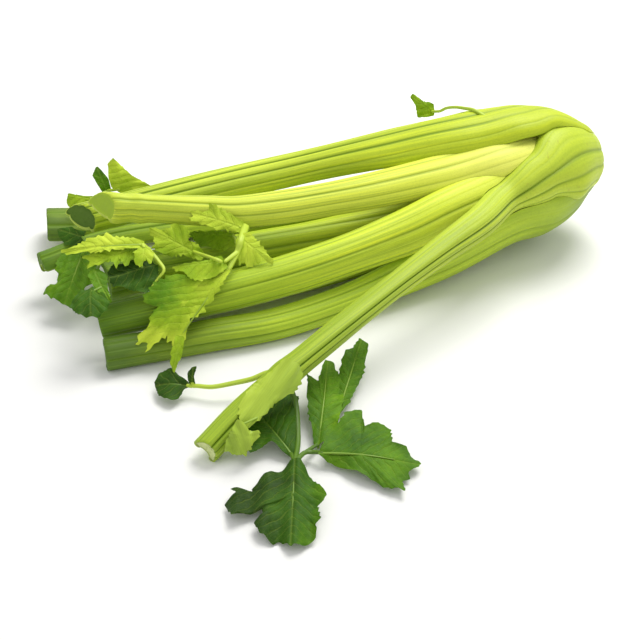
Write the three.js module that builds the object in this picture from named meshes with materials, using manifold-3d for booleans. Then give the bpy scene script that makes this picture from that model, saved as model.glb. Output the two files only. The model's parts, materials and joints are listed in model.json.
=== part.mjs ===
// A head of celery lying on its side: a cut butt, ribbed crescent stalks that fan out
// from it, one stalk that has fallen across the others, and sprays of toothed leaves.
// Millimetres, +Z up, the surface it lies on at z = 0, the head's axis along X with the
// butt at the +X end.
import * as THREE from "three";
import { mergeVertices } from "three/addons/utils/BufferGeometryUtils.js";
import Module from "manifold-3d";

const wasm = await Module();
wasm.setup();

// ---- driving dimensions ----------------------------------------------------
const CUT_X = 182; // the plane the butt is cut off on
const SHOULDER_X = 100; // where the sheaths have opened to their full girth
const AXIS_AT_SHOULDER = { y: 9, z: 45 }; // the head's axis, which the butt end tilts up
const AXIS_AT_CUT = { y: 12, z: 50 };
const CORE_R = 9; // the solid root plate inside the sheaths
const CORE_LENGTH = 34;
const GAP = 0.35; // room left between two pieces that touch
const STATION_POWER = 1.4; // sets a stalk's rings closer together towards its root
const HOLLOW_STEPS = 5; // flats across a stalk's hollow
const HOLLOW_REACH = 86; // degrees that the hollow's arc runs to each side
const TILT_LENGTH = 40; // how far back from its tip a stalk's slanting end reaches
const TILT_POWER = 1.5; // how late on that length the slant sets in
const LIP_DROP = 0.4; // how far a lip hangs below the hollow's edge, as a share of the rim

const STALK_GREEN = new THREE.Color(0.52, 0.66, 0.13);
const HEART_GREEN = new THREE.Color(0.74, 0.8, 0.3);
const CORE_CREAM = new THREE.Color(0.84, 0.83, 0.56);
const LEAF_GREEN = new THREE.Color(0.17, 0.36, 0.06);
const YOUNG_LEAF_GREEN = new THREE.Color(0.45, 0.62, 0.1);

const { degToRad, lerp, smoothstep } = THREE.MathUtils;
const vec = (p) => new THREE.Vector3(...p);

// ---- solids ------------------------------------------------------------------
function toSolid(geometry) {
  const bare = geometry.clone();
  bare.deleteAttribute("normal");
  bare.deleteAttribute("uv");
  const merged = mergeVertices(bare, 1e-4);
  const mesh = new wasm.Mesh({
    numProp: 3,
    vertProperties: new Float32Array(merged.attributes.position.array),
    triVerts: new Uint32Array(merged.index.array),
  });
  return new wasm.Manifold(mesh);
}

function toGeometry(solid) {
  const mesh = solid.getMesh();
  const geometry = new THREE.BufferGeometry();
  geometry.setAttribute("position", new THREE.BufferAttribute(mesh.vertProperties, 3));
  geometry.setIndex(new THREE.BufferAttribute(mesh.triVerts, 1));
  geometry.computeVertexNormals();
  return geometry;
}

// The biggest body of a cut solid, without the loose scraps a cut can leave.
function biggestBody(solid) {
  const bodies = solid.decompose();
  return bodies.reduce((a, b) => (b.volume() > a.volume() ? b : a));
}

// Skins a row of closed rings and closes both ends. outline is the ring's shape in its
// own plane, which the caps are triangulated from.
function loft(rings, outline) {
  const n = rings[0].length;
  const positions = rings.flat().flatMap((p) => [p.x, p.y, p.z]);
  const index = [];
  for (let i = 0; i + 1 < rings.length; i++) {
    for (let j = 0; j < n; j++) {
      const a = i * n + j;
      const b = i * n + ((j + 1) % n);
      index.push(a, b, a + n, b, b + n, a + n);
    }
  }
  const last = (rings.length - 1) * n;
  for (const [a, b, c] of THREE.ShapeUtils.triangulateShape(outline, [])) {
    index.push(a, b, c);
    index.push(last + a, last + c, last + b);
  }
  const geometry = new THREE.BufferGeometry();
  geometry.setAttribute("position", new THREE.Float32BufferAttribute(positions, 3));
  geometry.setIndex(index);
  return geometry;
}

// ---- stalks ------------------------------------------------------------------
// How far along a stalk the values of its section are given: at the cut, the heel, twice
// on the shoulder, where it leaves the head, past its middle and at its tip.
const KEY_PLACES = [0, 0.05, 0.12, 0.19, 0.27, 0.6, 1];

function keyed(values, u) {
  const next = Math.max(1, KEY_PLACES.findIndex((place) => u <= place));
  const share = smoothstep(u, KEY_PLACES[next - 1], KEY_PLACES[next]);
  return lerp(values[next - 1], values[next], share);
}

// A stalk's section: a crescent with a ribbed back towards +y and a smooth hollow
// towards -y. grow thickens it all round.
function crescent({ width, depth, wall, rim, rib }, ribs, grow) {
  const backSteps = 2 * ribs;
  const points = [];
  for (let i = 0; i <= backSteps; i++) {
    const angle = degToRad(lerp(-90, 90, i / backSteps));
    const dip = grow > 0 || i % 2 === 1 || i === 0 || i === backSteps ? 0 : rib;
    const x = (width / 2 + grow - dip) * Math.sin(angle);
    const y = (depth + grow - dip) * Math.cos(angle) - depth / 2;
    points.push(new THREE.Vector2(x, y));
  }
  const lip = -depth / 2 - rim * LIP_DROP - grow;
  points.push(new THREE.Vector2(width / 2 - rim / 2, lip));
  for (let i = 0; i <= HOLLOW_STEPS; i++) {
    const angle = degToRad(lerp(HOLLOW_REACH, -HOLLOW_REACH, i / HOLLOW_STEPS));
    const x = (width / 2 - rim - grow) * Math.sin(angle);
    const y = (depth - wall - grow) * Math.cos(angle) - depth / 2;
    points.push(new THREE.Vector2(x, y));
  }
  points.push(new THREE.Vector2(-width / 2 + rim / 2, lip));
  return points;
}

// A point of a sheath, at a distance from the head's axis and an angle round it from +Y
// towards +Z.
function onSheath(x, radius, around) {
  const share = (x - SHOULDER_X) / (CUT_X - SHOULDER_X);
  const angle = degToRad(around);
  const y = lerp(AXIS_AT_SHOULDER.y, AXIS_AT_CUT.y, share) + radius * Math.cos(angle);
  const z = lerp(AXIS_AT_SHOULDER.z, AXIS_AT_CUT.z, share) + radius * Math.sin(angle);
  return [x, y, z];
}

// The two layers of the head: how a stalk's middle line runs out from the root plate, as
// [x, distance from the axis], and its section at the key places.
const LAYERS = {
  outer: {
    heel: [[CUT_X + 4, 8], [CUT_X - 5, 15], [CUT_X - 14, 21], [CUT_X - 26, 29], [CUT_X - 44, 35]],
    depth: [8, 11, 13, 14, 14, 13, 12],
    wall: [7, 7, 7, 7, 8, 8.5, 8.5],
    rim: [3, 3.5, 4, 4, 4, 3.5, 3.5],
    rib: [0.5, 0.7, 0.9, 1, 1, 1, 0.9],
  },
  inner: {
    heel: [[CUT_X - 24, 5], [CUT_X - 36, 9], [CUT_X - 50, 13]],
    depth: [6, 8, 10, 12, 12, 12, 12],
    wall: [5, 6, 7, 8, 8, 8.5, 8.5],
    rim: [2.5, 3, 3, 3, 3, 3, 3],
    rib: [0.1, 0.2, 0.4, 0.6, 0.8, 0.8, 0.7],
  },
};

// Each stalk: its layer, the angle its back faces and its width at the key places, and
// its route after the heel. One that leaves the head askew has a heel of its own, which
// gives the angle round the axis as well. tilt slants its tip: how far the tip runs on
// for each millimetre along the section's two axes.
const STALKS = {
  stalk_across: {
    layer: "outer", ribs: 6, steps: 19,
    faces: [142, 142, 143, 150, 160, 150, 140],
    width: [26, 42, 50, 32, 21.5, 14.5, 15.5],
    depth: [8, 12, 15, 13, 12, 11, 11],
    heel: [[186, 8, 142], [177, 15, 142], [164, 25, 143], [152, 31, 146], [135, 36.5, 153],
      [117, 38.5, 161], [100, 40, 168]],
    route: [[75, -49, 52], [42, -65, 48], [0, -85, 41], [-50, -110, 31.5], [-98, -132, 18.5],
      [-126, -147, 8]],
    tilt: [0, -0.3],
  },
  stalk_top_back: {
    layer: "outer", ribs: 6, steps: 17,
    faces: [58, 58, 64, 75, 86, 100, 105],
    width: [26, 42, 50, 54, 46, 27, 23],
    wall: [7, 7, 7, 7, 8, 9, 16],
    rib: [0.1, 0.2, 0.4, 0.7, 0.9, 1, 0.9],
    heel: [[186, 8, 58], [177, 15, 58], [168, 21, 60], [156, 29, 63], [140, 35.5, 67], [120, 38, 71]],
    route: [[90, 25, 79], [50, 41, 67.5], [-7, 61, 52], [-72, 69, 43], [-150, 67, 37]],
    tilt: [0.6, -0.6],
  },
  stalk_bottom_front: {
    layer: "outer", ribs: 6, steps: 17,
    faces: [212, 212, 210, 205, 195, 175, 165],
    width: [26, 42, 50, 50, 38, 19.5, 20],
    route: [[108, -24, 29], [50, -36, 17.5], [-43, -52, 9], [-104, -52, 8.5], [-161, -51, 9]],
  },
  stalk_bottom: {
    layer: "outer", ribs: 4, steps: 12,
    faces: [278, 278, 278, 275, 272, 270, 270],
    width: [26, 40, 46, 46, 34, 24, 20],
    route: [[110, 10, 6], [50, 4, 7.5], [-20, -8, 7.5], [-90, -14, 7.5], [-128, -16, 7.5]],
  },
  stalk_bottom_back: {
    layer: "outer", ribs: 4, steps: 14,
    faces: [345, 345, 345, 352, 375, 430, 450],
    width: [26, 40, 50, 48, 34, 26, 34],
    route: [[112, 45, 33], [57, 53, 20], [0, 62, 12], [-60, 80, 9], [-110, 94, 11], [-170, 102, 17.5]],
  },
  stalk_inner_top: {
    layer: "inner", ribs: 5, steps: 16,
    faces: [90, 90, 90, 95, 100, 100, 95],
    width: [18, 26, 34, 36, 32, 26, 18],
    wall: [5, 6, 7, 8, 8, 9, 15],
    heel: [[158, 9, 95], [146, 18, 98], [132, 25, 103]],
    route: [[108, -1, 72], [73, 0, 66], [7, 3, 59.5], [-55, 10, 56], [-84, 19, 56.5], [-140.5, 33, 61.7]],
    tilt: [0.8, -0.5],
  },
  stalk_inner_front: {
    layer: "inner", ribs: 6, steps: 16,
    faces: [150, 150, 150, 150, 148, 145, 142],
    width: [14, 20, 26, 30, 30, 25, 21],
    route: [[118, -12, 57], [97, -20, 55], [61, -28, 50.5], [26, -33, 43.5], [-39, -38, 34.5],
            [-102, -37, 28], [-160, -31, 21]],
  },
  stalk_inner_middle: {
    layer: "inner", ribs: 4, steps: 12,
    faces: [250, 250, 240, 220, 190, 150, 140],
    width: [10, 14, 18, 20, 20, 24, 25],
    route: [[110, 6, 34], [70, 10, 31], [12, 11, 24], [-54, 13, 22], [-110, 8, 25], [-148, 2, 27]],
  },
  stalk_inner_back: {
    layer: "inner", ribs: 4, steps: 12,
    faces: [10, 10, 15, 20, 30, 50, 60],
    width: [10, 14, 18, 20, 19, 16, 14],
    route: [[110, 26, 48], [60, 34, 42], [0, 38, 34], [-60, 42, 30], [-137, 48, 28], [-183, 39, 25]],
  },
};

function stalkCurve(stalk) {
  const heel = stalk.heel.map(([x, radius, around]) => onSheath(x, radius, around ?? stalk.faces[0]));
  return new THREE.CatmullRomCurve3([...heel, ...stalk.route].map(vec), false, "catmullrom");
}

// Where a stalk is at u along it, which way it runs there, and its section's two axes.
function stalkFrame(curve, faces, u) {
  const along = curve.getTangentAt(u);
  const angle = degToRad(keyed(faces, u));
  const out = new THREE.Vector3(0, Math.cos(angle), Math.sin(angle));
  out.addScaledVector(along, -out.dot(along)).normalize();
  const side = new THREE.Vector3().crossVectors(along, out);
  return { centre: curve.getPointAt(u), along, out, side };
}

function stalkSolid(name, grow) {
  const stalk = { ...LAYERS[STALKS[name].layer], ...STALKS[name] };
  const curve = stalkCurve(stalk);
  const length = curve.getLength();
  const [tiltX, tiltY] = stalk.tilt ?? [0, 0];
  const rings = [];
  let outline;
  for (let i = 0; i <= stalk.steps; i++) {
    const u = Math.pow(i / stalk.steps, STATION_POWER);
    const lean = Math.pow(Math.max(0, 1 - ((1 - u) * length) / TILT_LENGTH), TILT_POWER);
    const { centre, along, out, side } = stalkFrame(curve, stalk.faces, u);
    const size = {};
    for (const key of ["width", "depth", "wall", "rim", "rib"]) size[key] = keyed(stalk[key], u);
    outline = crescent(size, stalk.ribs, grow);
    if (i === stalk.steps) centre.addScaledVector(along, grow);
    rings.push(outline.map((p) => {
      const shift = lean * (p.x * tiltX + p.y * tiltY);
      return centre.clone().addScaledVector(side, p.x).addScaledVector(out, p.y)
        .addScaledVector(along, shift);
    }));
  }
  return toSolid(loft(rings, outline));
}

// ---- butt ----------------------------------------------------------------------
// The root plate: a blunt cone turned about the head's axis, its wide end on the cut.
const CORE_SIDES = 16;

function coreSolid(grow) {
  const r = CORE_R + grow;
  const length = CORE_LENGTH + grow;
  const profile = [[0, 0], [r, 0], [0.9 * r, 0.4 * length], [0.6 * r, 0.8 * length], [0, length]];
  const outline = profile.map(([a, b]) => new THREE.Vector2(a, b));
  const lathe = new THREE.LatheGeometry(outline, CORE_SIDES);
  lathe.rotateZ(Math.PI / 2).translate(CUT_X, AXIS_AT_CUT.y, AXIS_AT_CUT.z);
  return toSolid(lathe);
}

function boxSolid(size, centre) {
  return toSolid(new THREE.BoxGeometry(...size).translate(...centre));
}

// Everything past the cut plane, and everything below the surface the head lies on.
const REACH = 1000;
const pastTheCut = boxSolid([REACH, REACH, REACH], [CUT_X + REACH / 2, 0, 0]);
const belowTheSurface = boxSolid([REACH, REACH, REACH], [0, 0, -REACH / 2]);

// ---- leaves --------------------------------------------------------------------
const BLADE = 0.8; // thickness of a leaf's blade
const INNER_RING = 0.55; // where a blade's inner ring of corners lies between eye and rim
const STEM_SIDES = 5;
const STEM_STEPS = 1.5; // lengths of stem for each span between two of its points

// A blade lies along the line from base to tip, its upper side turned to face, and is
// fanned out from its eye. curl rolls it about the line (a share of a radian for each
// millimetre across) and bow arches it from base to tip. This is where the point [along
// the line, across it] comes to, sunk below the blade's skin.
function onBlade(blade, [s, t], sink) {
  const base = vec(blade.base);
  const along = vec(blade.tip).sub(base);
  const length = along.length();
  along.normalize();
  const face = vec(blade.face);
  face.addScaledVector(along, -face.dot(along)).normalize();
  const across = new THREE.Vector3().crossVectors(face, along);
  const radius = 1 / blade.curl;
  const turn = t / radius;
  const share = s / length;
  const height = (radius - sink) * Math.cos(turn) - radius + 4 * blade.bow * share * (1 - share);
  return base.addScaledVector(along, s)
    .addScaledVector(across, (radius - sink) * Math.sin(turn))
    .addScaledVector(face, height);
}

// A blade's rim. It runs from lobe to lobe, each the [along, across] of its tip and how
// far the rim is cut back towards the eye after it: 0 leaves the edge straight, and less
// than 0 rounds it outwards.
function bladeRim({ eye, lobes }) {
  return lobes.flatMap(([s, t, cut], i) => {
    if (cut === 0) return [[s, t]];
    const [nextS, nextT] = lobes[(i + 1) % lobes.length];
    const notch = [lerp((s + nextS) / 2, eye[0], cut), lerp((t + nextT) / 2, eye[1], cut)];
    return [[s, t], notch];
  });
}

// The blade as a thin solid, split into triangles alike on both its faces.
function bladeSolid(blade, grow) {
  const rim = bladeRim(blade);
  const n = rim.length;
  const [eyeS, eyeT] = blade.eye;
  const inner = rim.map(([s, t]) => [lerp(eyeS, s, INNER_RING), lerp(eyeT, t, INNER_RING)]);
  const points = [blade.eye, ...inner, ...rim];
  const upper = points.map((point) => onBlade(blade, point, -grow));
  const lower = points.map((point) => onBlade(blade, point, BLADE + grow));
  const under = points.length;
  const index = [];
  for (let i = 0; i < n; i++) {
    const [a, b] = [1 + i, 1 + ((i + 1) % n)];
    const [c, d] = [a + n, b + n];
    const skin = [[0, a, b], [a, c, d], [a, d, b]];
    for (const [p, q, r] of skin) index.push(p, q, r, under + p, under + r, under + q);
    index.push(c, under + c, under + d, c, under + d, d);
  }
  const geometry = new THREE.BufferGeometry();
  const positions = [...upper, ...lower].flatMap((p) => [p.x, p.y, p.z]);
  geometry.setAttribute("position", new THREE.Float32BufferAttribute(positions, 3));
  geometry.setIndex(index);
  return toSolid(geometry);
}

// A thin round stem through the points given, tapering from its first radius to its last.
function stemSolid(points, radii, grow) {
  const curve = new THREE.CatmullRomCurve3(points, false, "catmullrom");
  const steps = Math.max(3, Math.round(STEM_STEPS * (points.length - 1)));
  const frames = curve.computeFrenetFrames(steps, false);
  const rings = [];
  let outline;
  for (let i = 0; i <= steps; i++) {
    const radius = lerp(radii[0], radii[1], i / steps) + grow;
    outline = [];
    for (let k = 0; k < STEM_SIDES; k++) {
      const angle = (-2 * Math.PI * k) / STEM_SIDES;
      outline.push(new THREE.Vector2(radius * Math.cos(angle), radius * Math.sin(angle)));
    }
    const centre = curve.getPointAt(i / steps);
    rings.push(outline.map((p) => centre.clone()
      .addScaledVector(frames.binormals[i], p.x)
      .addScaledVector(frames.normals[i], p.y)));
  }
  return toSolid(loft(rings, outline));
}

// A blade's midrib: a tapering ridge that runs the given share of the way to its tip.
const MIDRIB_SHARES = [0.02, 0.5, 1];
const MIDRIB_RADII = [1, 0.55];

function midribSolid(blade, grow) {
  const length = vec(blade.tip).distanceTo(vec(blade.base));
  const points = MIDRIB_SHARES.map((share) => {
    return onBlade(blade, [share * blade.vein * length, 0], BLADE / 2);
  });
  return stemSolid(points, MIDRIB_RADII, grow);
}

function spraySolid({ stems, blades }, grow) {
  const pieces = stems.map(({ points, radii }) => stemSolid(points.map(vec), radii, grow));
  for (const blade of blades) {
    pieces.push(bladeSolid(blade, grow));
    if (blade.vein > 0) pieces.push(midribSolid(blade, grow));
  }
  return pieces.reduce((a, b) => a.add(b));
}

// The sprays of leaves: thin stems, each with its radius at either end, and the blades
// that grow from them.
const SPRAYS = {
  leaf_front: {
    colour: LEAF_GREEN,
    stems: [
      { radii: [1.6, 1.4], points: [[-72, -117, 16], [-70.5, -125, 9], [-74, -139.5, 5],
        [-79, -155, 5], [-86.5, -172.5, 9]] },
      { radii: [1.4, 1.1], points: [[-86, -172, 9], [-78.5, -164, 6.5], [-74, -163.5, 5.5],
        [-69.5, -168.5, 8]] },
      { radii: [1.1, 0.9], points: [[-78.5, -164, 6.5], [-67.5, -155.5, 3]] },
      { radii: [1.3, 1.1], points: [[-86, -171.5, 9], [-84.5, -160, 5]] },
    ],
    blades: [
      {
        base: [-85.5, -170.5, 9.5], tip: [-104.5, -222, 2.5], face: [-0.05, -0.1, 1],
        eye: [24, 0], curl: 0.003, bow: 2, vein: 0.75,
        lobes: [[6, -7, -0.1], [16, -21, 0.2], [18, -33, 0.15], [28, -35, 0], [38, -30, -0.05],
          [33, -15, 0.15], [42, -19, -0.05], [52, -11, -0.05], [52, -6, 0], [57, 0, -0.05],
          [51, 12, 0.1], [41, 14, 0.2], [26, 17, 0], [1, 3, -0.15]],
      },
      {
        base: [-72, -167.5, 8], tip: [-23.5, -190, 4.5], face: [0, -0.15, 1],
        eye: [22, 0], curl: 0.004, bow: 3, vein: 0.75,
        lobes: [[0, -1, 0.1], [40, -20, 0.1], [47, -21, 0], [45, -12, -0.1], [48, -6, -0.25],
          [48, 7, 0], [46, 13, 0], [38, 12, -0.2], [30, 28, 0], [26, 24, 0.3], [20, 35, 0],
          [12, 28, -0.05]],
      },
      {
        base: [-69, -158.5, 2], tip: [-43, -100, 12], face: [0.1, -0.2, 1],
        eye: [26, 0], curl: -0.012, bow: 4, vein: 0.75,
        lobes: [[15, -9, -0.25], [54, -8, -0.15], [66, 2, 0.35], [51, 11, -0.25], [0, 2, -0.15]],
      },
      {
        base: [-54.5, -144, 3.5], tip: [-17.5, -87, 13], face: [0.1, -0.25, 0.95],
        eye: [30, 0], curl: 0.014, bow: 3, vein: 0.7,
        lobes: [[41, -7, -0.45], [69, 1, 0.15], [55, 7, -0.2], [7, 4, 0], [0, 1, -0.35]],
      },
      {
        base: [-84, -162.5, 5], tip: [-94, -120, 7], face: [0, -0.05, 1],
        eye: [22, 0], curl: 0.008, bow: 2, vein: 0.7,
        lobes: [[1, -3, 0.1], [40, -28, -0.05], [47, -16, -0.1], [42, 3, -0.15],
          [22, 13, -0.2], [12, 19, 0.45], [0, 1, 0]],
      },
    ],
  },
  leaf_collar: {
    colour: YOUNG_LEAF_GREEN,
    stems: [
      { radii: [0.7, 0.5], points: [[-97, -144.5, 20.5], [-107.5, -148.5, 21.5]] },
    ],
    blades: [
      {
        base: [-71, -128, 36], tip: [-103.5, -148.5, 16.5], face: [0.1, -0.75, 0.65],
        eye: [20, 0], curl: 0.08, bow: 0.5, vein: 0,
        lobes: [[7, -10, -0.3], [36, -13, -0.1], [43, -1, 0.35], [10, 9, -0.25], [-2, 1, -0.2]],
      },
      {
        base: [-108, -147, 23.5], tip: [-105, -158, 10], face: [0.1, -0.75, 0.65],
        eye: [9, 0], curl: 0.04, bow: 0.5, vein: 0,
        lobes: [[-1, -1, -0.1], [11, -13, -0.25], [18, -3, 0.05], [10, 9, 0], [7, 3, -0.25]],
      },
    ],
  },
  shoot_front: {
    colour: LEAF_GREEN,
    stems: [
      { radii: [1.7, 1.2], points: [[-72.5, -111, 20], [-80, -105, 17], [-88.5, -102.5, 13],
        [-97.5, -99, 10], [-109.5, -96, 8], [-117.5, -91, 7], [-120.5, -89.5, 6.5]] },
      { radii: [1.2, 1], points: [[-119.5, -90, 6.5], [-123, -88, 6.5]] },
      { radii: [1.2, 1], points: [[-119.5, -90, 6.5], [-119.5, -89, 9]] },
    ],
    blades: [
      {
        base: [-121.5, -88.5, 6], tip: [-138.5, -81.5, 6.5], face: [-0.1, -0.35, 0.95],
        eye: [8, 0], curl: -0.02, bow: 2, vein: 0.6,
        lobes: [[0, -2, 0.15], [11, -10, -0.35], [20, -1, -0.35], [8, 12, -0.25], [2, 3, -0.15]],
      },
      {
        base: [-120, -89.5, 6.5], tip: [-118, -87, 17.5], face: [-0.3, -0.9, 0.3],
        eye: [6, 0], curl: 0.03, bow: 1, vein: 0,
        lobes: [[1, -2, 0.6], [12, -2, -0.3], [8, 3, -0.2], [0, 1, 0]],
      },
    ],
  },
  sprig_middle: {
    colour: YOUNG_LEAF_GREEN,
    stems: [
      { radii: [2.6, 1.4], points: [[-61.5, -1.5, 50], [-70, -21.5, 53], [-74, -26.5, 48.5],
        [-83, -37, 43]] },
      { radii: [1.4, 0.9], points: [[-71.5, -23.5, 51.5], [-66.5, 11, 37]] },
      { radii: [1.6, 1], points: [[-51, 39.5, 22.5], [-66.5, -6.5, 53]] },
      { radii: [1.6, 1], points: [[-70.5, -22.5, 52.5], [-69, -20.5, 52.5]] },
      { radii: [1.6, 1], points: [[-73.5, -26.5, 48.5], [-84.5, -35.5, 49]] },
      { radii: [1.2, 1], points: [[-85.5, -35.5, 49], [-89.5, -33.5, 51], [-96, -5.5, 41]] },
      { radii: [0.9, 0.7], points: [[-118.5, -60.5, 20.5], [-120.5, -69.5, 25.5]] },
    ],
    blades: [
      {
        base: [-82, -36, 44], tip: [-122.5, -63, 17.5], face: [-0.1, -0.6, 0.8],
        eye: [32, -9], curl: 0.003, bow: 3, vein: 0.85,
        lobes: [[16, -9, -0.45], [32, -30, 0], [45, -30, 0.3], [47, -22, 0], [56, -19, -0.3],
          [62, -16, -0.4], [54, -8, -0.2], [49, 3, 0.35], [34, 2, -0.1], [1, 2, -0.3]],
      },
      {
        base: [-82.5, -36, 49], tip: [-112.5, -28, 47], face: [-0.2, -0.55, 0.8],
        eye: [14, 0], curl: -0.01, bow: 1.5, vein: 0,
        lobes: [[3, -4, 0.35], [32, 0, -0.15], [26, 4, -0.15], [17, 11, -0.2], [0, 3, 0]],
      },
      {
        base: [-65, 10, 37], tip: [-94, 21, 38], face: [-0.2, -0.6, 0.75],
        eye: [14, 0], curl: -0.015, bow: 1, vein: 0,
        lobes: [[2, -2, -0.35], [31, -1, -0.6], [6, 11, -0.4]],
      },
      {
        base: [-88.5, -11, 37], tip: [-118, 14.5, 49.5], face: [-0.2, -0.6, 0.75],
        eye: [17, 0], curl: -0.012, bow: 2, vein: 0,
        lobes: [[9, -5, 0.45], [19, -11, -0.05], [29, -10, 0.25], [41, -1, -0.1],
          [34, 4, -0.35], [23, 10, 0.25], [3, 3, -0.3]],
      },
      {
        base: [-65, -7.5, 52.5], tip: [-92.5, 11, 58.5], face: [-0.25, -0.65, 0.75],
        eye: [15, 0], curl: -0.012, bow: 1.5, vein: 0,
        lobes: [[1, -4, 0], [25, -9, 0], [23, -5, 0.15], [35, -1, 0.15], [33, 4, -0.6],
          [0, 3, 0]],
      },
      {
        base: [-70, -19, 53], tip: [-56.5, -35.5, 43.5], face: [-0.2, -0.6, 0.75],
        eye: [9, 0], curl: 0.012, bow: 1.5, vein: 0,
        lobes: [[3, -8, 0], [10, -13, 0.2], [15, -12, 0.05], [21, -1, 0], [26, 0, -0.25],
          [4, 6, 0], [-1, 4, -0.25]],
      },
      {
        base: [-119.5, -68, 27.5], tip: [-128.5, -80.5, 11.5], face: [-0.2, -0.7, 0.65],
        eye: [10, 0], curl: 0.03, bow: 1, vein: 0,
        lobes: [[1, -3, 0.15], [12, -4, 0.3], [17, -3, 0], [23, 1, 0.2], [13, 3, -0.15],
          [1, 2, 0]],
      },
    ],
  },
  leaves_left: {
    colour: LEAF_GREEN,
    stems: [
      { radii: [1.5, 1.1], points: [[-132.5, -3.5, 44], [-141.5, -0.5, 44], [-150, 5.5, 45],
        [-155, 10.5, 46], [-158, 30.5, 29.5]] },
      { radii: [1.1, 0.9], points: [[-154, 10, 46], [-155, 40.5, 36.5]] },
      { radii: [1.1, 0.9], points: [[-148, 3.5, 45], [-157, -19.5, 46.5]] },
      { radii: [1.2, 0.9], points: [[-134, -3, 44], [-130, -22.5, 46.5]] },
      { radii: [0.8, 0.6], points: [[-155.5, -28.5, 42.5], [-162.5, -31.5, 42.5]] },
    ],
    blades: [
      {
        base: [-128, -22.5, 47], tip: [-148.5, -23.5, 44], face: [-0.1, -0.4, 0.9],
        eye: [7, 0], curl: 0.01, bow: 0, vein: 0,
        lobes: [[7, -9, -0.35], [22, -5, -0.4], [14, 11, -0.35], [-3, 13, 0], [-7, 1, -0.45]],
      },
      {
        base: [-157.5, -17.5, 48], tip: [-153.5, -40, 37.5], face: [-0.1, -0.4, 0.9],
        eye: [10, 0], curl: 0.02, bow: 0, vein: 0,
        lobes: [[-1, -2, -0.6], [11, -4, -0.4], [25, 1, 0.25], [6, 6, -0.35]],
      },
      {
        base: [-156.5, 33, 30.5], tip: [-175.5, 2.5, 14], face: [-0.1, -0.4, 0.9],
        eye: [20, 0], curl: 0.015, bow: 2, vein: 0.6,
        lobes: [[-2, -3, 0], [5, -13, -0.15], [20, -11, 0.25], [33, -17, 0], [40, 4, -0.4],
          [22, 7, -0.6]],
      },
      {
        base: [-162, -29, 43.5], tip: [-166, -46, 35.5], face: [-0.1, -0.4, 0.9],
        eye: [10, 0], curl: 0.02, bow: 1, vein: 0,
        lobes: [[6, -10, -0.35], [16, -8, -0.2], [19, 4, -0.25], [9, 11, -0.15], [-1, 1, -0.25]],
      },
      {
        base: [-153.5, 39, 36.5], tip: [-169, 50.5, 39.5], face: [-0.3, -0.6, 0.7],
        eye: [9, 0], curl: 0.015, bow: 0, vein: 0,
        lobes: [[1, -4, 0.25], [12, -4, 0], [20, 0, -0.15], [11, 8, -0.1], [1, 5, 0]],
      },
    ],
  },
  leaves_heart: {
    colour: YOUNG_LEAF_GREEN,
    stems: [
      { radii: [1.1, 0.9], points: [[-128, -12.5, 56.5], [-130.5, -11.5, 54]] },
      { radii: [1.1, 0.9], points: [[-127.5, -12.5, 56.5], [-127, -17, 56.5]] },
      { radii: [1.8, 0.5], points: [[-128, -12.5, 56.5], [-124, -14, 52], [-120.5, -22, 49],
        [-119, -29.5, 47], [-123.5, -31.5, 43], [-128.5, -35, 40]] },
    ],
    blades: [
      {
        base: [-128.5, -11, 54.5], tip: [-162, -16, 48.5], face: [-0.1, -0.45, 0.9],
        eye: [14, 0], curl: 0.015, bow: 2, vein: 0,
        lobes: [[0, -4, -0.6], [33, -8, 0.15], [34, 0, 0.6], [19, 9, 0.6], [12, 10, 0.3],
          [3, 9, -0.1]],
      },
      {
        base: [-126.5, -13, 56.5], tip: [-167, -5, 56], face: [-0.1, -0.5, 0.85],
        eye: [18, 0], curl: 0.015, bow: 2, vein: 0.6,
        lobes: [[11, -6, 0.35], [21, -11, 0.15], [27, -8, 0], [48, 0, 0], [42, 2, -0.25],
          [1, 3, -0.55]],
      },
      {
        base: [-126.5, -16, 57], tip: [-130.5, -26, 51.5], face: [-0.1, -0.45, 0.9],
        eye: [5, 0], curl: 0.015, bow: 1, vein: 0,
        lobes: [[4, -6, -0.45], [14, -1, 0.45], [11, 5, -0.5], [0, 3, -0.6]],
      },
    ],
  },
  leaves_back: {
    colour: YOUNG_LEAF_GREEN,
    stems: [
      { radii: [1.4, 1.2], points: [[-79, 81, 36], [-87.5, 86, 35], [-94.5, 90.5, 34],
        [-98.5, 92, 35]] },
      { radii: [1.1, 1], points: [[-120.5, 95, 35.5], [-128.5, 102, 32]] },
      { radii: [1, 1], points: [[-128, 102, 31.5], [-141.5, 92.5, 33]] },
    ],
    blades: [
      {
        base: [-97.5, 91.5, 34], tip: [-121.5, 102.5, 53.5], face: [-0.1, -0.9, 0.4],
        eye: [21, 9], curl: 0.01, bow: 1, vein: 0,
        lobes: [[0, 0, 0.25], [34, -1, -0.25], [30, 11, -0.6], [16, 16, -0.25]],
      },
      {
        base: [-128, 101.5, 31], tip: [-132, 109, 46], face: [-0.1, -0.9, 0.4],
        eye: [8, 0], curl: 0.02, bow: 1, vein: 0,
        lobes: [[1, -3, -0.6], [15, -2, -0.2], [18, 1, 0], [14, 5, -0.05], [0, 3, 0]],
      },
      {
        base: [-140, 92, 33], tip: [-153.5, 98, 35.5], face: [-0.2, -0.75, 0.65],
        eye: [7, 0], curl: 0.015, bow: 1, vein: 0,
        lobes: [[-4, -3, 0.5], [16, -1, -0.25], [13, 9, -0.35], [5, 4, -0.6]],
      },
    ],
  },
  leaf_far: {
    colour: YOUNG_LEAF_GREEN,
    stems: [
      { radii: [1.3, 1], points: [[105, 18.5, 87.5], [101.5, 29, 88], [99, 37, 86],
        [95.5, 44.5, 84], [93, 52.5, 80], [91, 57.5, 76], [88, 64.5, 73]] },
    ],
    blades: [
      {
        base: [89, 64, 72], tip: [76.5, 70, 83], face: [-0.1, -0.9, 0.4],
        eye: [8, 0], curl: 0.015, bow: 1, vein: 0,
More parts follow.
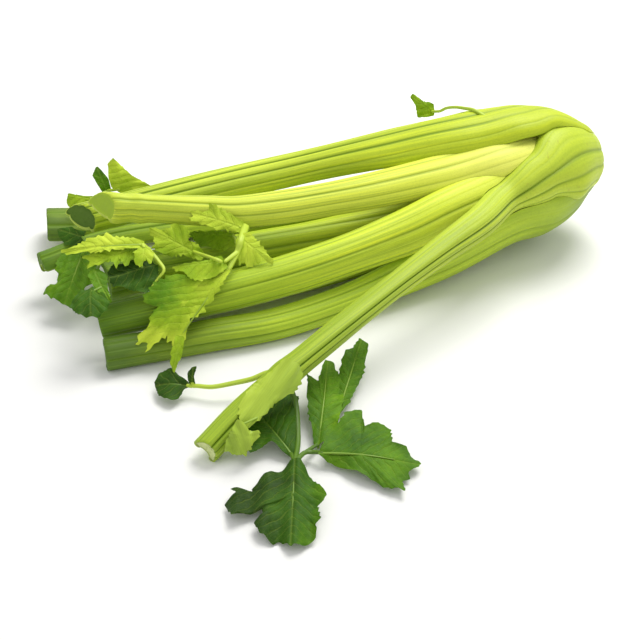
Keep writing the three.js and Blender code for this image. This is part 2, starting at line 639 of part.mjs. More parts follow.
        lobes: [[3, -5, -0.25], [10, -2, 0], [19, -2, 0], [19, 1, 0.2], [7, 9, -0.05],
          [-2, 1, -0.05]],
      },
    ],
  },
};

// ---- assembly ------------------------------------------------------------------
const head = new THREE.Group();
const placed = []; // solids already placed, each a little grown, which later ones are cut by

function place(name, solid, grown, colour) {
  let cut = solid.subtract(pastTheCut).subtract(belowTheSurface);
  for (const neighbour of placed) cut = cut.subtract(neighbour);
  cut = biggestBody(cut);
  placed.push(grown);
  const material = new THREE.MeshStandardMaterial({ color: colour, roughness: 0.5, metalness: 0 });
  const mesh = new THREE.Mesh(toGeometry(cut), material);
  mesh.name = name;
  head.add(mesh);
}

place("butt", coreSolid(0), coreSolid(GAP), CORE_CREAM);
for (const name of Object.keys(STALKS)) {
  const colour = STALKS[name].layer === "inner" ? HEART_GREEN : STALK_GREEN;
  place(name, stalkSolid(name, 0), stalkSolid(name, GAP), colour);
}

for (const [name, spray] of Object.entries(SPRAYS)) {
  place(name, spraySolid(spray, 0), spraySolid(spray, GAP), spray.colour);
}

// The origin goes under the middle of the head, on the surface.
const bounds = new THREE.Box3().setFromObject(head);
const middle = bounds.getCenter(new THREE.Vector3());
for (const piece of head.children) {
  piece.geometry.translate(-middle.x, -middle.y, -bounds.min.z);
}

export default head;
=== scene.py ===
# %% [markdown]
# # A head of celery on its side
# Nine ribbed stalks run out from a cut butt, one of them has fallen across the rest, and
# sprays of toothed leaves grow from the stalks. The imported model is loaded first: it is a
# frame that says where every piece is, and the fine pieces made here stand in its place.

# %% The frame
import json
import math

import bmesh
import bpy
import numpy as np
from mathutils import Matrix, Vector

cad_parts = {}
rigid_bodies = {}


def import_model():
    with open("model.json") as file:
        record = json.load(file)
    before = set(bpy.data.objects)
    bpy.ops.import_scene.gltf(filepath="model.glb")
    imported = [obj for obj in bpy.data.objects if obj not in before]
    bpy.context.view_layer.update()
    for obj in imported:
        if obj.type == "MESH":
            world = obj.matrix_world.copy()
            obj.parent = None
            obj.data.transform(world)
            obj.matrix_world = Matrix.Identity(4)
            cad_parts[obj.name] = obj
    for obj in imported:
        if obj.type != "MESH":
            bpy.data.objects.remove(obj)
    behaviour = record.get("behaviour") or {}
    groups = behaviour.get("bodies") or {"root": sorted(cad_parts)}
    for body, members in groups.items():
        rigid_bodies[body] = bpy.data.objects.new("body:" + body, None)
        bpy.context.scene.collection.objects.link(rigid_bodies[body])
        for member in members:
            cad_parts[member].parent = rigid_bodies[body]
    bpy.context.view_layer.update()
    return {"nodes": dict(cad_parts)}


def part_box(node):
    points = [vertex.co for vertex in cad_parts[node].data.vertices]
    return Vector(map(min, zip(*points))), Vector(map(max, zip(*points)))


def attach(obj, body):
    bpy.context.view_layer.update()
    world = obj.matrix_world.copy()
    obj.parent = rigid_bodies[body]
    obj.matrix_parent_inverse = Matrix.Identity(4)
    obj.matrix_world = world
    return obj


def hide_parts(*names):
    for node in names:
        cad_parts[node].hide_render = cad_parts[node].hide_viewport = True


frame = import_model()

print("frame:", len(frame["nodes"]), "nodes")

# %% [markdown]
# The shapes are worked out in millimetres from the head's own axis, with the cut face of
# the butt at x = 182. The butt's box in the frame tells how far the whole head was moved
# when it was packed, so one small function turns those millimetres into the scene's metres.

# %% Millimetres of the head to metres of the scene
MM = 0.001
CUT_X = 182
SHOULDER_X = 100
AXIS_AT_SHOULDER = (9, 45)
AXIS_AT_CUT = (12, 50)
CORE_R = 9
CORE_LENGTH = 34
GAP = 0.35

butt_low, butt_high = (np.array(corner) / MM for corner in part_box("butt"))
butt_middle = (butt_low + butt_high) / 2
MOVED = np.array([butt_high[0] - CUT_X, butt_middle[1] - AXIS_AT_CUT[0], butt_middle[2] - AXIS_AT_CUT[1]])


def to_scene(points):
    """Metres of the scene: (millimetres of the head + how far it was moved) / 1000."""
    return (np.asarray(points, float) + MOVED) * MM


print("the head was moved by", MOVED.round(3), "mm")

# %% [markdown]
# The camera comes next, because every later choice is judged through it. It stands in
# front of the head and a little to its left, 35 degrees up, with a lens of 70 mm, which
# flattens the head much as a product picture does.

# %% Camera
TURN, RISE, LENS = math.radians(-19), math.radians(35), 70
CAMERA_AT = (-231.3, -633.4, 437.1)


def unit(vectors):
    """The vectors made one long."""
    return vectors / np.linalg.norm(vectors, axis=-1, keepdims=True)


def add_object(name, data):
    """An object with this data, put in the scene."""
    thing = bpy.data.objects.new(name, data)
    bpy.context.scene.collection.objects.link(thing)
    return thing


def add_camera():
    """A camera whose back is towards (sin turn cos rise, -cos turn cos rise, sin rise), with
    its right side level: right = up of the room x back, up = back x right."""
    back = np.array([
        math.sin(TURN) * math.cos(RISE), -math.cos(TURN) * math.cos(RISE), math.sin(RISE)])
    right = unit(np.cross([0, 0, 1], back))
    camera = add_object("camera", bpy.data.cameras.new("camera"))
    camera.data.lens, camera.data.clip_start = LENS, 0.05
    axes = np.column_stack([right, np.cross(back, right), back, to_scene(CAMERA_AT)])
    camera.matrix_world = Matrix([*axes.tolist(), [0, 0, 0, 1]])
    bpy.context.scene.camera = camera
    return camera


camera = add_camera()
print("camera at", [round(v, 3) for v in camera.matrix_world.translation])

# %% [markdown]
# A plain near-white floor and soft light. A bright sky of one colour fills the shadows
# between the stalks, and one broad lamp above the back right corner gives the ribs their
# light side. Standard view keeps the yellow of the shoulder as bright as it is mixed.

# %% Floor, sky and lamp
def linear(*shades):
    """Linear light from the shades of a screen: ((c + 0.055) / 1.055) ** 2.4, c / 12.92 below 0.04."""
    c = np.array(shades, float)
    return tuple(np.where(c <= 0.04045, c / 12.92, ((c + 0.055) / 1.055) ** 2.4).tolist())


def add_floor(reach=4.0):
    """A square sheet on z = 0: four faces on a grid of nine points."""
    side = np.linspace(-reach, reach, 3)
    points = [(x, y, 0.0) for y in side for x in side]
    faces = [(a, a + 1, a + 4, a + 3) for a in (0, 1, 3, 4)]
    mesh = bpy.data.meshes.new("floor")
    mesh.from_pydata(points, [], faces)
    floor = add_object("floor", mesh)
    return floor


def add_lamp(name, place, target, size, power, colour):
    """A square area lamp at place, turned to face target."""
    lamp = add_object(name, bpy.data.lights.new(name, "AREA"))
    lamp.data.size, lamp.data.energy, lamp.data.color = size, power, colour
    lamp.location = place
    away = Vector(place) - Vector(target)
    lamp.rotation_euler = away.to_track_quat("Z", "Y").to_euler()


def light_sky(strength):
    """The same white from every side."""
    world = bpy.data.worlds.new("sky")
    world.use_nodes = True
    sockets = world.node_tree.nodes["Background"].inputs
    sockets["Color"].default_value, sockets["Strength"].default_value = (1, 1, 1, 1), strength
    bpy.context.scene.world = world


SKY = 0.72
KEY_POWER, KEY_SIZE, KEY_COLOUR = 13.0, 0.7, (1.0, 0.985, 0.95)
KEY_AT, KEY_AIM = (0.45, 0.45, 1.05), (0.0, 0.0, 0.03)

floor = add_floor()
light_sky(SKY)
add_lamp("key", KEY_AT, KEY_AIM, KEY_SIZE, KEY_POWER, KEY_COLOUR)
bpy.context.scene.view_settings.view_transform = "Standard"
print("sky", SKY, "and lamp", KEY_POWER, "W")

# %% [markdown]
# A finish is a shader written as sums. Its nodes could be placed by hand in the editor,
# but a sum is read at a glance. `Value` wraps a socket, so `1 - mask * 0.5` adds the Math
# nodes it needs. `Finish` holds one material, and its `node` method adds any other kind of
# node: first its settings, then the values or links of its sockets.

# %% Shader sums
class Value:
    """A socket that can be added, taken away, multiplied and divided."""

    def __init__(self, finish, socket):
        self.finish, self.socket = finish, socket

    def sum(self, operation, a, b=0.0, clamp=False):
        settings = {"operation": operation, "use_clamp": clamp}
        return self.finish.node("ShaderNodeMath", settings, {0: a, 1: b})

    def __abs__(self):
        return self.sum("ABSOLUTE", self)

    def held(self):
        """The value kept between 0 and 1."""
        return self.sum("ADD", self, 0.0, clamp=True)


def add_sign(name, operation):
    """Teaches Value a sign in both orders, such as value - 1 and 1 - value."""
    setattr(Value, f"__{name}__", lambda self, other: self.sum(operation, self, other))
    setattr(Value, f"__r{name}__", lambda self, other: self.sum(operation, other, self))


for sign in (("add", "ADD"), ("sub", "SUBTRACT"), ("mul", "MULTIPLY"), ("truediv", "DIVIDE")):
    add_sign(*sign)


class Finish:
    """A material being made out of nodes."""

    def __init__(self, name):
        self.material = bpy.data.materials.new(name)
        self.material.use_nodes = True
        self.tree = self.material.node_tree
        self.skin = self.tree.nodes["Principled BSDF"]

    def node(self, kind, settings=None, sockets=None, out=0):
        """One node: its settings first, then its sockets, each a value or a link."""
        node = self.tree.nodes.new(kind)
        for key, value in (settings or {}).items():
            setattr(node, key, value)
        for key, value in (sockets or {}).items():
            self.feed(node.inputs[key], value)
        return Value(self, node.outputs[out])

    def feed(self, socket, value):
        if isinstance(value, Value):
            self.tree.links.new(value.socket, socket)
        elif isinstance(value, tuple) and len(value) == 3 and socket.type == "RGBA":
            socket.default_value = (*value, 1.0)
        else:
            socket.default_value = value

    def uv(self, name):
        """Both parts of one of the piece's own maps."""
        both = self.node("ShaderNodeUVMap", {"uv_map": name})
        parts = self.node("ShaderNodeSeparateXYZ", None, {0: both})
        return parts, Value(self, parts.socket.node.outputs[1])

    def place(self):
        """The three Object coordinates, in metres."""
        all_three = self.node("ShaderNodeTexCoord", None, None, out=3)
        parts = self.node("ShaderNodeSeparateXYZ", None, {0: all_three})
        return [Value(self, output) for output in parts.socket.node.outputs]

    def vector(self, x, y, z=0.0):
        return self.node("ShaderNodeCombineXYZ", None, {0: x, 1: y, 2: z})

    def noise(self, where, scale, detail=2.0, rough=0.5):
        sockets = {"Vector": where, "Scale": scale, "Detail": detail, "Roughness": rough}
        return self.node("ShaderNodeTexNoise", None, sockets)

    def between(self, value, low, high, out_low=0.0, out_high=1.0):
        """The value's place from low to high, eased at both ends."""
        sockets = {"Value": value, "From Min": low, "From Max": high, "To Min": out_low,
                   "To Max": out_high}
        return self.node("ShaderNodeMapRange", {"interpolation_type": "SMOOTHSTEP"}, sockets)

    def mix(self, share, a, b, blend="MIX"):
        """Colour a where share is 0, b where it is 1. The node's sockets for two colours are
        numbers 6 and 7, and its colour comes out of number 2."""
        settings = {"data_type": "RGBA", "blend_type": blend}
        return self.node("ShaderNodeMix", settings, {0: share, 6: a, 7: b}, out=2)

    def ramp(self, value, stops):
        """A colour ramp through stops, each (place, colour)."""
        colours = self.node("ShaderNodeValToRGB", None, {0: value})
        elements = colours.socket.node.color_ramp.elements
        for _ in stops[2:]:
            elements.new(0.5)
        for element, (place, colour) in zip(elements, stops):
            element.position, element.color = place, (*colour, 1.0)
        return colours

    def bump(self, height, distance, strength=1.0):
        """Relief of the given depth in metres."""
        sockets = {"Height": height, "Distance": distance, "Strength": strength}
        return self.node("ShaderNodeBump", None, sockets)

    def wear(self, **sockets):
        """Sets the surface's own sockets and gives the material back."""
        names = {"colour": "Base Color", "roughness": "Roughness", "normal": "Normal",
                 "specular": "Specular IOR Level"}
        for key, value in sockets.items():
            self.feed(self.skin.inputs[names[key]], value)
        return self.material


print("shader sums ready")

# %% [markdown]
# The floor tries the sums out. It is a near-white paper whose shade drifts very slightly,
# bright enough to throw light up into the undersides of the stalks.

# %% Floor finish
def paper_finish(name, light, dark):
    """The light shade, with the dark one in slow clouds."""
    f = Finish(name)
    x, y, z = f.place()
    cloud = f.noise(f.vector(x, y, z), 3.0, 3.0)
    return f.wear(colour=f.mix(f.between(cloud, 0.3, 0.7), light, dark), roughness=0.9, specular=0.1)


paper = paper_finish("paper", linear(0.95, 0.95, 0.945), linear(0.945, 0.945, 0.94))
floor.data.materials.append(paper)
print("the floor is", paper.name)

# %% [markdown]
# Every shape is gathered in a `Shell`: arrays of points, and patches of faces that know
# their places on two maps. The map "skin" is millimetres over the surface, for fibres and
# veins. On a stalk the map "relief" says how deep in a groove a place is and whether it is
# on the back or in the hollow. On a blade it says how near the rim a place is and how pale
# the leaf is. Maps belong to the corners of faces, so they pass through a Boolean cut
# unharmed, where values kept on points would be lost.

# %% Shells
class Shell:
    """Points and faces of one closed surface, gathered patch by patch."""

    def __init__(self):
        self.points, self.count = [], 0
        self.faces, self.maps, self.finishes = [], {"skin": [], "relief": []}, []

    def add_points(self, points):
        """Keeps the points and gives back their numbers, in the same grid."""
        grid = np.asarray(points, float)
        numbers = np.arange(grid[..., 0].size).reshape(grid.shape[:-1]) + self.count
        self.points.append(grid.reshape(-1, 3))
        self.count += numbers.size
        return numbers

    def add_faces(self, numbers, skin, relief, finish=0):
        """Faces as rows of point numbers, with both maps' values at the same corners."""
        self.faces += numbers.tolist()
        for key, values in (("skin", skin), ("relief", relief)):
            self.maps[key].append(np.broadcast_to(values, (*numbers.shape, 2)).reshape(-1, 2))
        self.finishes += [finish] * len(numbers)

    def add_grid(self, numbers, skin, relief, finish=0):
        """The four-cornered faces of a grid of point numbers."""
        self.add_faces(*(quads(values) for values in (numbers, skin, relief)), finish)

    def mesh(self, name):
        """A mesh with its maps and finishes, every face turned outwards."""
        mesh = bpy.data.meshes.new(name)
        mesh.from_pydata(to_scene(np.vstack(self.points)).tolist(), [], self.faces)
        for key, values in self.maps.items():
            layer = mesh.uv_layers.new(name=key)
            layer.data.foreach_set("uv", np.vstack(values).astype(np.float32).ravel())
        mesh.polygons.foreach_set("material_index", self.finishes)
        turned = bmesh.new()
        turned.from_mesh(mesh)
        bmesh.ops.recalc_face_normals(turned, faces=turned.faces)
        turned.to_mesh(mesh)
        turned.free()
        return mesh


def quads(grid):
    """The corners of every cell of a grid, in turn round the cell."""
    grid = np.asarray(grid)
    corners = np.stack([grid[:-1, :-1], grid[:-1, 1:], grid[1:, 1:], grid[1:, :-1]], axis=2)
    return corners.reshape(-1, 4, *grid.shape[2:])


def wrapped(grid):
    """The grid with its first column put again after its last, to close a tube."""
    return np.concatenate([grid, grid[:, :1]], axis=1)


def together(*parts):
    """Numbers of matching shapes as the last axis of one array."""
    return np.stack(np.broadcast_arrays(*parts), axis=-1)


print("shells ready")

# %% [markdown]
# Stalks and stems follow a smooth line through a few points. A Blender curve could carry
# them, but here each line is an array, so every station along it can have a section of its
# own. Each span is a cubic whose slope at a point is half the step from the point before it
# to the point after it.

# %% Smooth lines
def smooth_line(points, steps=48):
    """Points on the line: p1 + m1 t + (3 d - 2 m1 - m2) t^2 + (m1 + m2 - 2 d) t^3 on each span,
    where d is the span and m1 and m2 are the slopes at its ends."""
    p = np.asarray(points, float)
    p = np.vstack([2 * p[0] - p[1], p, 2 * p[-1] - p[-2]])
    spans = len(p) - 3
    p0, p1, p2, p3 = (p[k:k + spans, None, :] for k in range(4))
    m1, m2, d = (p2 - p0) / 2, (p3 - p1) / 2, p2 - p1
    t = np.linspace(0, 1, steps, endpoint=False)[None, :, None]
    line = p1 + m1 * t + (3 * d - 2 * m1 - m2) * t**2 + (m1 + m2 - 2 * d) * t**3
    return np.vstack([line.reshape(-1, 3), p[-2:-1]])


def walk(line, shares):
    """Where the line is and which way it runs at shares of its length, and that length."""
    reach = np.concatenate([[0], np.cumsum(np.linalg.norm(np.diff(line, axis=0), axis=1))])
    slope = np.gradient(line, reach, axis=0)
    at = np.asarray(shares) * reach[-1]
    place, along = (
        together(*(np.interp(at, reach, part[:, k]) for k in range(3))) for part in (line, slope))
    return place, unit(along), reach[-1]


def crossed_by(along, out):
    """The two axes of a section: out made square to the line, and the side axis."""
    out = unit(out - (out * along).sum(axis=-1, keepdims=True) * along)
    return out, np.cross(along, out)


bent_line = smooth_line([(0, 0, 0), (3, 0, 0), (3, 4, 0)])
print("a test line is", round(walk(bent_line, [0])[2], 2), "long")

# %% [markdown]
# A celery stalk is a leaf's stem: a crescent with a ribbed back and a smooth hollow. At
# its root it is a broad, thin sheath wrapped round its neighbours, and further out it
# draws together into a gutter. Every stalk is described by its route and by values of
# its section at seven places, the same ones as in the solid model. What a stalk leaves out
# it takes from its layer or from what all share.

# %% The stalks' sizes and routes
KEY_PLACES = np.array([0, 0.05, 0.12, 0.19, 0.27, 0.6, 1])

LAYERS = {
    "outer": {
        "heel": [(186, 8), (177, 15), (168, 21), (156, 29), (138, 35)],
        "depth": [8, 11, 13, 14, 14, 13, 12],
        "wall": [7, 7, 7, 7, 8, 8.5, 8.5],
        "rim": [3, 3.5, 4, 4, 4, 3.5, 3.5],
        "rib": [0.5, 0.7, 0.9, 1, 1, 1, 0.9],
    },
    "inner": {
        "heel": [(158, 5), (146, 9), (132, 13)],
        "depth": [6, 8, 10, 12, 12, 12, 12],
        "wall": [5, 6, 7, 8, 8, 8.5, 8.5],
        "rim": [2.5, 3, 3, 3, 3, 3, 3],
        "rib": [0.1, 0.2, 0.4, 0.6, 0.8, 0.8, 0.7],
    },
}

COMMON = {"grooves": [1, 1, 1], "nodes": [], "tilt": (0, 0)}

STALKS = {
    "stalk_across": {
        "grooves": [0.7, 0.9, 1.4, 0.2, 0.4],
        "faces": [142, 142, 143, 150, 160, 150, 140],
        "width": [26, 42, 50, 32, 21.5, 14.5, 15.5],
        "depth": [8, 12, 15, 13, 12, 11, 11],
        "heel": [(186, 8, 142), (177, 15, 142), (164, 25, 143), (152, 31, 146), (135, 36.5, 153),
                 (117, 38.5, 161), (100, 40, 168)],
        "route": [(75, -49, 52), (42, -65, 48), (0, -85, 41), (-50, -110, 31.5), (-98, -132, 18.5),
                  (-126, -147, 8)],
        "nodes": [(62, 0.1, 7)], "tilt": (0.0, -0.3),
    },
    "stalk_top_back": {
        "grooves": [0.5, 0.9, 1.2, 1.2, 0.8],
        "faces": [58, 58, 64, 75, 86, 100, 105],
        "width": [26, 42, 50, 54, 46, 27, 23],
        "wall": [7, 7, 7, 7, 8, 9, 16],
        "rib": [0.1, 0.2, 0.4, 0.7, 0.9, 1, 0.9],
        "heel": [(186, 8, 58), (177, 15, 58), (168, 21, 60), (156, 29, 63), (140, 35.5, 67), (120, 38, 71)],
        "route": [(90, 25, 79), (50, 41, 67.5), (-7, 61, 52), (-72, 69, 43), (-150, 67, 37)],
        "tilt": (0.6, -0.6),
    },
    "stalk_bottom_front": {
        "grooves": [0.8, 0.4, 1, 0.35, 0.7],
        "faces": [212, 212, 210, 205, 195, 175, 165],
        "width": [26, 42, 50, 50, 38, 19.5, 20],
        "route": [(108, -24, 29), (50, -36, 17.5), (-43, -52, 9), (-104, -52, 8.5), (-161, -51, 9)],
    },
    "stalk_bottom": {
        "faces": [278, 278, 278, 275, 272, 270, 270],
        "width": [26, 40, 46, 46, 34, 24, 20],
        "route": [(110, 10, 6), (50, 4, 7.5), (-20, -8, 7.5), (-90, -14, 7.5), (-128, -16, 7.5)],
    },
    "stalk_bottom_back": {
        "faces": [345, 345, 345, 352, 375, 430, 450],
        "width": [26, 40, 50, 48, 34, 26, 34],
        "route": [(112, 45, 33), (57, 53, 20), (0, 62, 12), (-60, 80, 9), (-110, 94, 11),
                  (-170, 102, 17.5)],
    },
    "stalk_inner_top": {
        "grooves": [0.6, 1, 0.7, 0.4],
        "faces": [90, 90, 90, 95, 100, 100, 95],
        "width": [18, 26, 34, 36, 32, 26, 18],
        "wall": [5, 6, 7, 8, 8, 9, 15],
        "heel": [(158, 9, 95), (146, 18, 98), (132, 25, 103)],
        "route": [(108, -1, 72), (73, 0, 66), (7, 3, 59.5), (-55, 10, 56), (-84, 19, 56.5),
                  (-140.5, 33, 61.7)],
        "nodes": [(4, 0.16, 7), (20, 0.1, 4)], "tilt": (0.8, -0.5),
    },
    "stalk_inner_front": {
        "grooves": [1, 0.35, 1, 0.25, 0.6],
        "faces": [150, 150, 150, 150, 148, 145, 142],
        "width": [14, 20, 26, 30, 30, 25, 21],
        "route": [(118, -12, 57), (97, -20, 55), (61, -28, 50.5), (26, -33, 43.5), (-39, -38, 34.5),
                  (-102, -37, 28), (-160, -31, 21)],
    },
    "stalk_inner_middle": {
        "faces": [250, 250, 240, 220, 190, 150, 140],
        "width": [10, 14, 18, 20, 20, 24, 25],
        "route": [(110, 6, 34), (70, 10, 31), (12, 11, 24), (-54, 13, 22), (-110, 8, 25), (-148, 2, 27)],
    },
    "stalk_inner_back": {
        "faces": [10, 10, 15, 20, 30, 50, 60],
        "width": [10, 14, 18, 20, 19, 16, 14],
        "route": [(110, 26, 48), (60, 34, 42), (0, 38, 34), (-60, 42, 30), (-137, 48, 28), (-183, 39, 25)],
    },
}


def keyed(values, u):
    """The value at shares u of a stalk, eased from each key place to the next."""
    values = np.asarray(values, float)
    after = np.clip(np.searchsorted(KEY_PLACES, u), 1, len(KEY_PLACES) - 1)
    x = np.clip((u - KEY_PLACES[after - 1]) / (KEY_PLACES[after] - KEY_PLACES[after - 1]), 0, 1)
    return values[after - 1] + (values[after] - values[after - 1]) * x * x * (3 - 2 * x)


def heel_points(stalk):
    """Points of the sheath from its distance and angle round the head's tilted axis."""
    x, radius, around = np.array([(*row, stalk["faces"][0])[:3] for row in stalk["heel"]], float).T
    share = (x - SHOULDER_X) / (CUT_X - SHOULDER_X)
    y, z = (near + (far - near) * share for near, far in zip(AXIS_AT_SHOULDER, AXIS_AT_CUT))
    around = np.radians(around)
    return np.column_stack([x, y + radius * np.cos(around), z + radius * np.sin(around)])


def layer_of(name):
    return "inner" if "inner" in name else "outer"


stalks = {name: {**COMMON, **LAYERS[layer_of(name)], **stalk} for name, stalk in STALKS.items()}
print(len(stalks), "stalks")

# %% [markdown]
# The section is worked out for all stations at once. Its back is half an ellipse, lowered
# in a bell-shaped dip at every groove, and the points stand closest there. A round lip
# joins the back to the hollow on each side. The ribs could be left to a bump in the
# material, but they show in the outline and in the cut ends, so they are real.

# %% A stalk's section
SIZES = ("width", "depth", "wall", "rim", "rib")
LIP_POINTS = 7
LIP_DROP = 0.4
HOLLOW_REACH = 86
BROAD_DIP, FINE_DIP = 0.2, 0.06


def section(size, grooves, columns, grow):
    """Back: x = (w/2 - dip) sin a, y = (d - dip) cos a - d/2 for a from -90 to 90 degrees.
    Hollow: the same with the rim and the wall taken off. Gives x, y, how deep in a groove
    each point is, and its side: 1 on the back, 0 in the hollow. A grown section is larger
    all round and has no ribs."""
    width, depth, wall, rim, rib = (size[key][:, None] for key in SIZES)
    ribs = len(grooves) + 1
    place = ribs * np.linspace(0, 1, columns)
    place = place - 0.6 * np.sin(2 * np.pi * place) / (2 * np.pi)
    apart = place[:, None] - np.arange(1, ribs)
    broad, fine = (
        (np.exp(-(apart / reach) ** 2) * grooves).sum(axis=1) for reach in (BROAD_DIP, FINE_DIP))
    groove = (0.65 * broad + 0.35 * fine) * (grow == 0)
    angle = np.radians(180 * place / ribs - 90)
    dip = rib * groove
    back_x = (width / 2 + grow - dip) * np.sin(angle)
    back_y = (depth + grow - dip) * np.cos(angle) - depth / 2
    inner = np.radians(np.linspace(HOLLOW_REACH, -HOLLOW_REACH, columns))
    hollow_x = (width / 2 - rim - grow) * np.sin(inner)
    hollow_y = (depth - wall - grow) * np.cos(inner) - depth / 2
    turn = np.linspace(0, np.pi, LIP_POINTS + 2)[1:-1]
    lip_x = width / 2 - rim / 2 + (rim / 2 + grow) * np.cos(turn)
    lip_y = -depth / 2 - (LIP_DROP * rim + grow) * np.sin(turn)
    x = np.concatenate([back_x, lip_x, hollow_x, -lip_x[:, ::-1]], axis=1)
    y = np.concatenate([back_y, lip_y, hollow_y, lip_y[:, ::-1]], axis=1)
    flat = np.zeros(LIP_POINTS)
    groove = np.concatenate([broad * 0.5 + fine * 0.5, flat, np.zeros(columns), flat])
    side = np.concatenate([np.ones(columns), flat + 0.5, np.zeros(columns), flat + 0.5])
    return x, y, groove, side


first = stalks["stalk_across"]
sample = {key: np.array(first[key], float) for key in SIZES}
print("a section has", section(sample, np.array(first["grooves"]), 61, 0)[0].shape[1], "points")

# %% [markdown]
# The section is then carried along the stalk's line as rings of points, joined by
# four-cornered faces. A curve with a bevel would keep one section all the way, while here
# its size and turn change from station to station. The last rings draw in to round the
# edge of the cut end, which is closed by a slightly dished patch.

# %% A stalk's surface
END_ROUNDING = 1.8
END_BEND = np.radians([0, 25, 50, 70, 90])
END_CLEAR, END_DRAW = 2.5, 0.7
END_ROWS, END_DISH = 6, 0.35
TILT_LENGTH, TILT_POWER = 40, 1.5
STATION_POWER = 1.25
WIDTH_RIPPLE, DEPTH_RIPPLE = 0.02, 0.015
RIPPLES = [4.1, 9.7, 17.3]


def ripple(u, seed, amount):
    """A slow unevenness: three sines of unlike length, their starts set by the seed."""
    starts = np.random.default_rng(seed).uniform(0, 2 * np.pi, 3)
    return amount * sum(np.sin(np.outer(u, RIPPLES) * 2 * np.pi / 3 + starts).T) / 3


def carried(place, out, side, x, y):
    """A section's points at every station: place + x side + y out."""
    return place[:, None] + side[:, None] * x[..., None] + out[:, None] * y[..., None]


def stalk_shell(name, stations=150, per_rib=10, grow=0.0):
    """Carries the section along the stalk's line, its stations closer together at the root.
    A grown stalk is a plain cutter: it has no ribs, ripples, nodes or rounded end."""
    stalk = stalks[name]
    seed = sum(map(ord, name))
    line = smooth_line(np.vstack([heel_points(stalk), stalk["route"]]))
    length = walk(line, [0])[2]
    u = np.linspace(0, 1, stations) ** STATION_POWER
    inset = np.zeros(stations)
    if grow == 0:
        rounded = 1 - END_ROUNDING * (1 - np.sin(END_BEND)) / length
        u = np.concatenate([u[u < 1 - END_CLEAR * END_ROUNDING / length], rounded])
        inset = np.zeros(len(u))
        inset[-len(rounded):] = END_ROUNDING * (1 - np.cos(END_BEND)) * END_DRAW
    place, along, _ = walk(line, u)
    angle = np.radians(keyed(stalk["faces"], u))
    out, side = crossed_by(along, together(0, np.cos(angle), np.sin(angle)))
    size = {key: keyed(stalk[key], u) for key in SIZES}
    from_end = (1 - u) * length
    if grow == 0:
        swell = sum(rise * np.exp(-((from_end - at) / reach) ** 2) for at, rise, reach in stalk["nodes"])
        size["width"] *= 1 + ripple(u, seed, WIDTH_RIPPLE) + swell
        size["depth"] *= 1 + ripple(u, seed + 1, DEPTH_RIPPLE) + swell
    columns = (len(stalk["grooves"]) + 1) * per_rib + 1
    x, y, groove, back = section(size, np.array(stalk["grooves"]), columns, grow)
    middle_y = y[:, columns // 2, None] * 0.5
    x = x * (1 - 2 * inset / size["width"])[:, None]
    y = middle_y + (y - middle_y) * (1 - 2 * inset / size["depth"])[:, None]
    lean = np.clip(1 - from_end / TILT_LENGTH, 0, 1)[:, None] ** TILT_POWER
    shift = lean * (x * stalk["tilt"][0] + y * stalk["tilt"][1])
    ring = carried(place, out, side, x, y) + along[:, None] * shift[..., None]
    ring[-1] += along[-1] * grow
    shell = Shell()
    numbers = shell.add_points(ring)
    steps = np.hypot(*(np.diff(wrapped(part), axis=1) for part in (x, y)))
    around = np.hstack([np.zeros((len(u), 1)), np.cumsum(steps, axis=1)])
    around = (around - around[:, columns // 2, None]) * (stalk["width"][5] / size["width"])[:, None]
    skin = together(around, (u * length)[:, None])
    relief = np.broadcast_to(wrapped(together(groove, back)[None]), skin.shape)
    shell.add_grid(wrapped(numbers), skin, relief)
    for end in (0, -1):
        flat = together(x[end], y[end])
        close_end(shell, numbers[end], ring[end], flat, columns, along[end] * (end == -1))
    return shell


def close_end(shell, numbers, ring, flat, columns, along):
    """Rows of faces from the back's edge across to the hollow's, slightly dished, and one
    face over each lip."""
    mate = slice(columns + LIP_POINTS, 2 * columns + LIP_POINTS)
    share = np.linspace(0, 1, END_ROWS + 1)[:, None, None]
    rows, skin = (edge[:columns] * (1 - share) + edge[mate][::-1] * share for edge in (ring, flat))
    rows = rows - along * END_DISH * np.sin(np.pi * share) ** 0.7
    grid = np.vstack([numbers[None, :columns], shell.add_points(rows[1:-1]), numbers[mate][None, ::-1]])
    shell.add_grid(grid, skin, together(share[..., 0], 0 * skin[..., 0]), finish=1)
    lips = (numbers[columns:columns + LIP_POINTS], numbers[2 * columns + LIP_POINTS:][::-1])
    for column, lip in zip((-1, 0), lips):
        face = np.concatenate([grid[:, column], lip[::-1]])[None]
        shell.add_faces(face, skin[0, column], 0, finish=1)


trial = stalk_shell("stalk_across")
print("one stalk has", trial.count, "points and", len(trial.faces), "faces")

# %% [markdown]
# In the real head the sheaths press against each other and share no space. The stalks are
# set in their order, and each is cut by the ones before it, a little grown so that a hair's
# gap is left. A block past the butt's cut face and a block under the floor cut them too.

# %% What cuts the pieces
cutters = bpy.data.collections.new("cutters")
REACH = 1000


def add_cutter(name, mesh):
    cutters.objects.link(bpy.data.objects.new(name, mesh))


def block(name, low, high):
    """A box from its lowest to its highest corner."""
    shell = Shell()
    shell.add_points(np.stack(np.meshgrid(*zip(low, high), indexing="ij"), axis=-1))
    faces = [(0, 1, 3, 2), (4, 6, 7, 5), (0, 4, 5, 1), (2, 3, 7, 6), (0, 2, 6, 4), (1, 5, 7, 3)]
    shell.add_faces(np.array(faces), 0, 0)
    add_cutter(name, shell.mesh(name))


block("past_the_cut", (CUT_X, -REACH, -REACH), (CUT_X + REACH, REACH, REACH))
block("below_the_floor", (-REACH, -REACH, -REACH), (REACH, REACH, 0))

# %% [markdown]
# One Boolean modifier with a collection of cutters makes all the cuts of a piece at once.
# Modelling each sheath by hand to fit its neighbours would give the same seams with far
# more work. Scraps that come loose are dropped: the biggest joined part is kept.

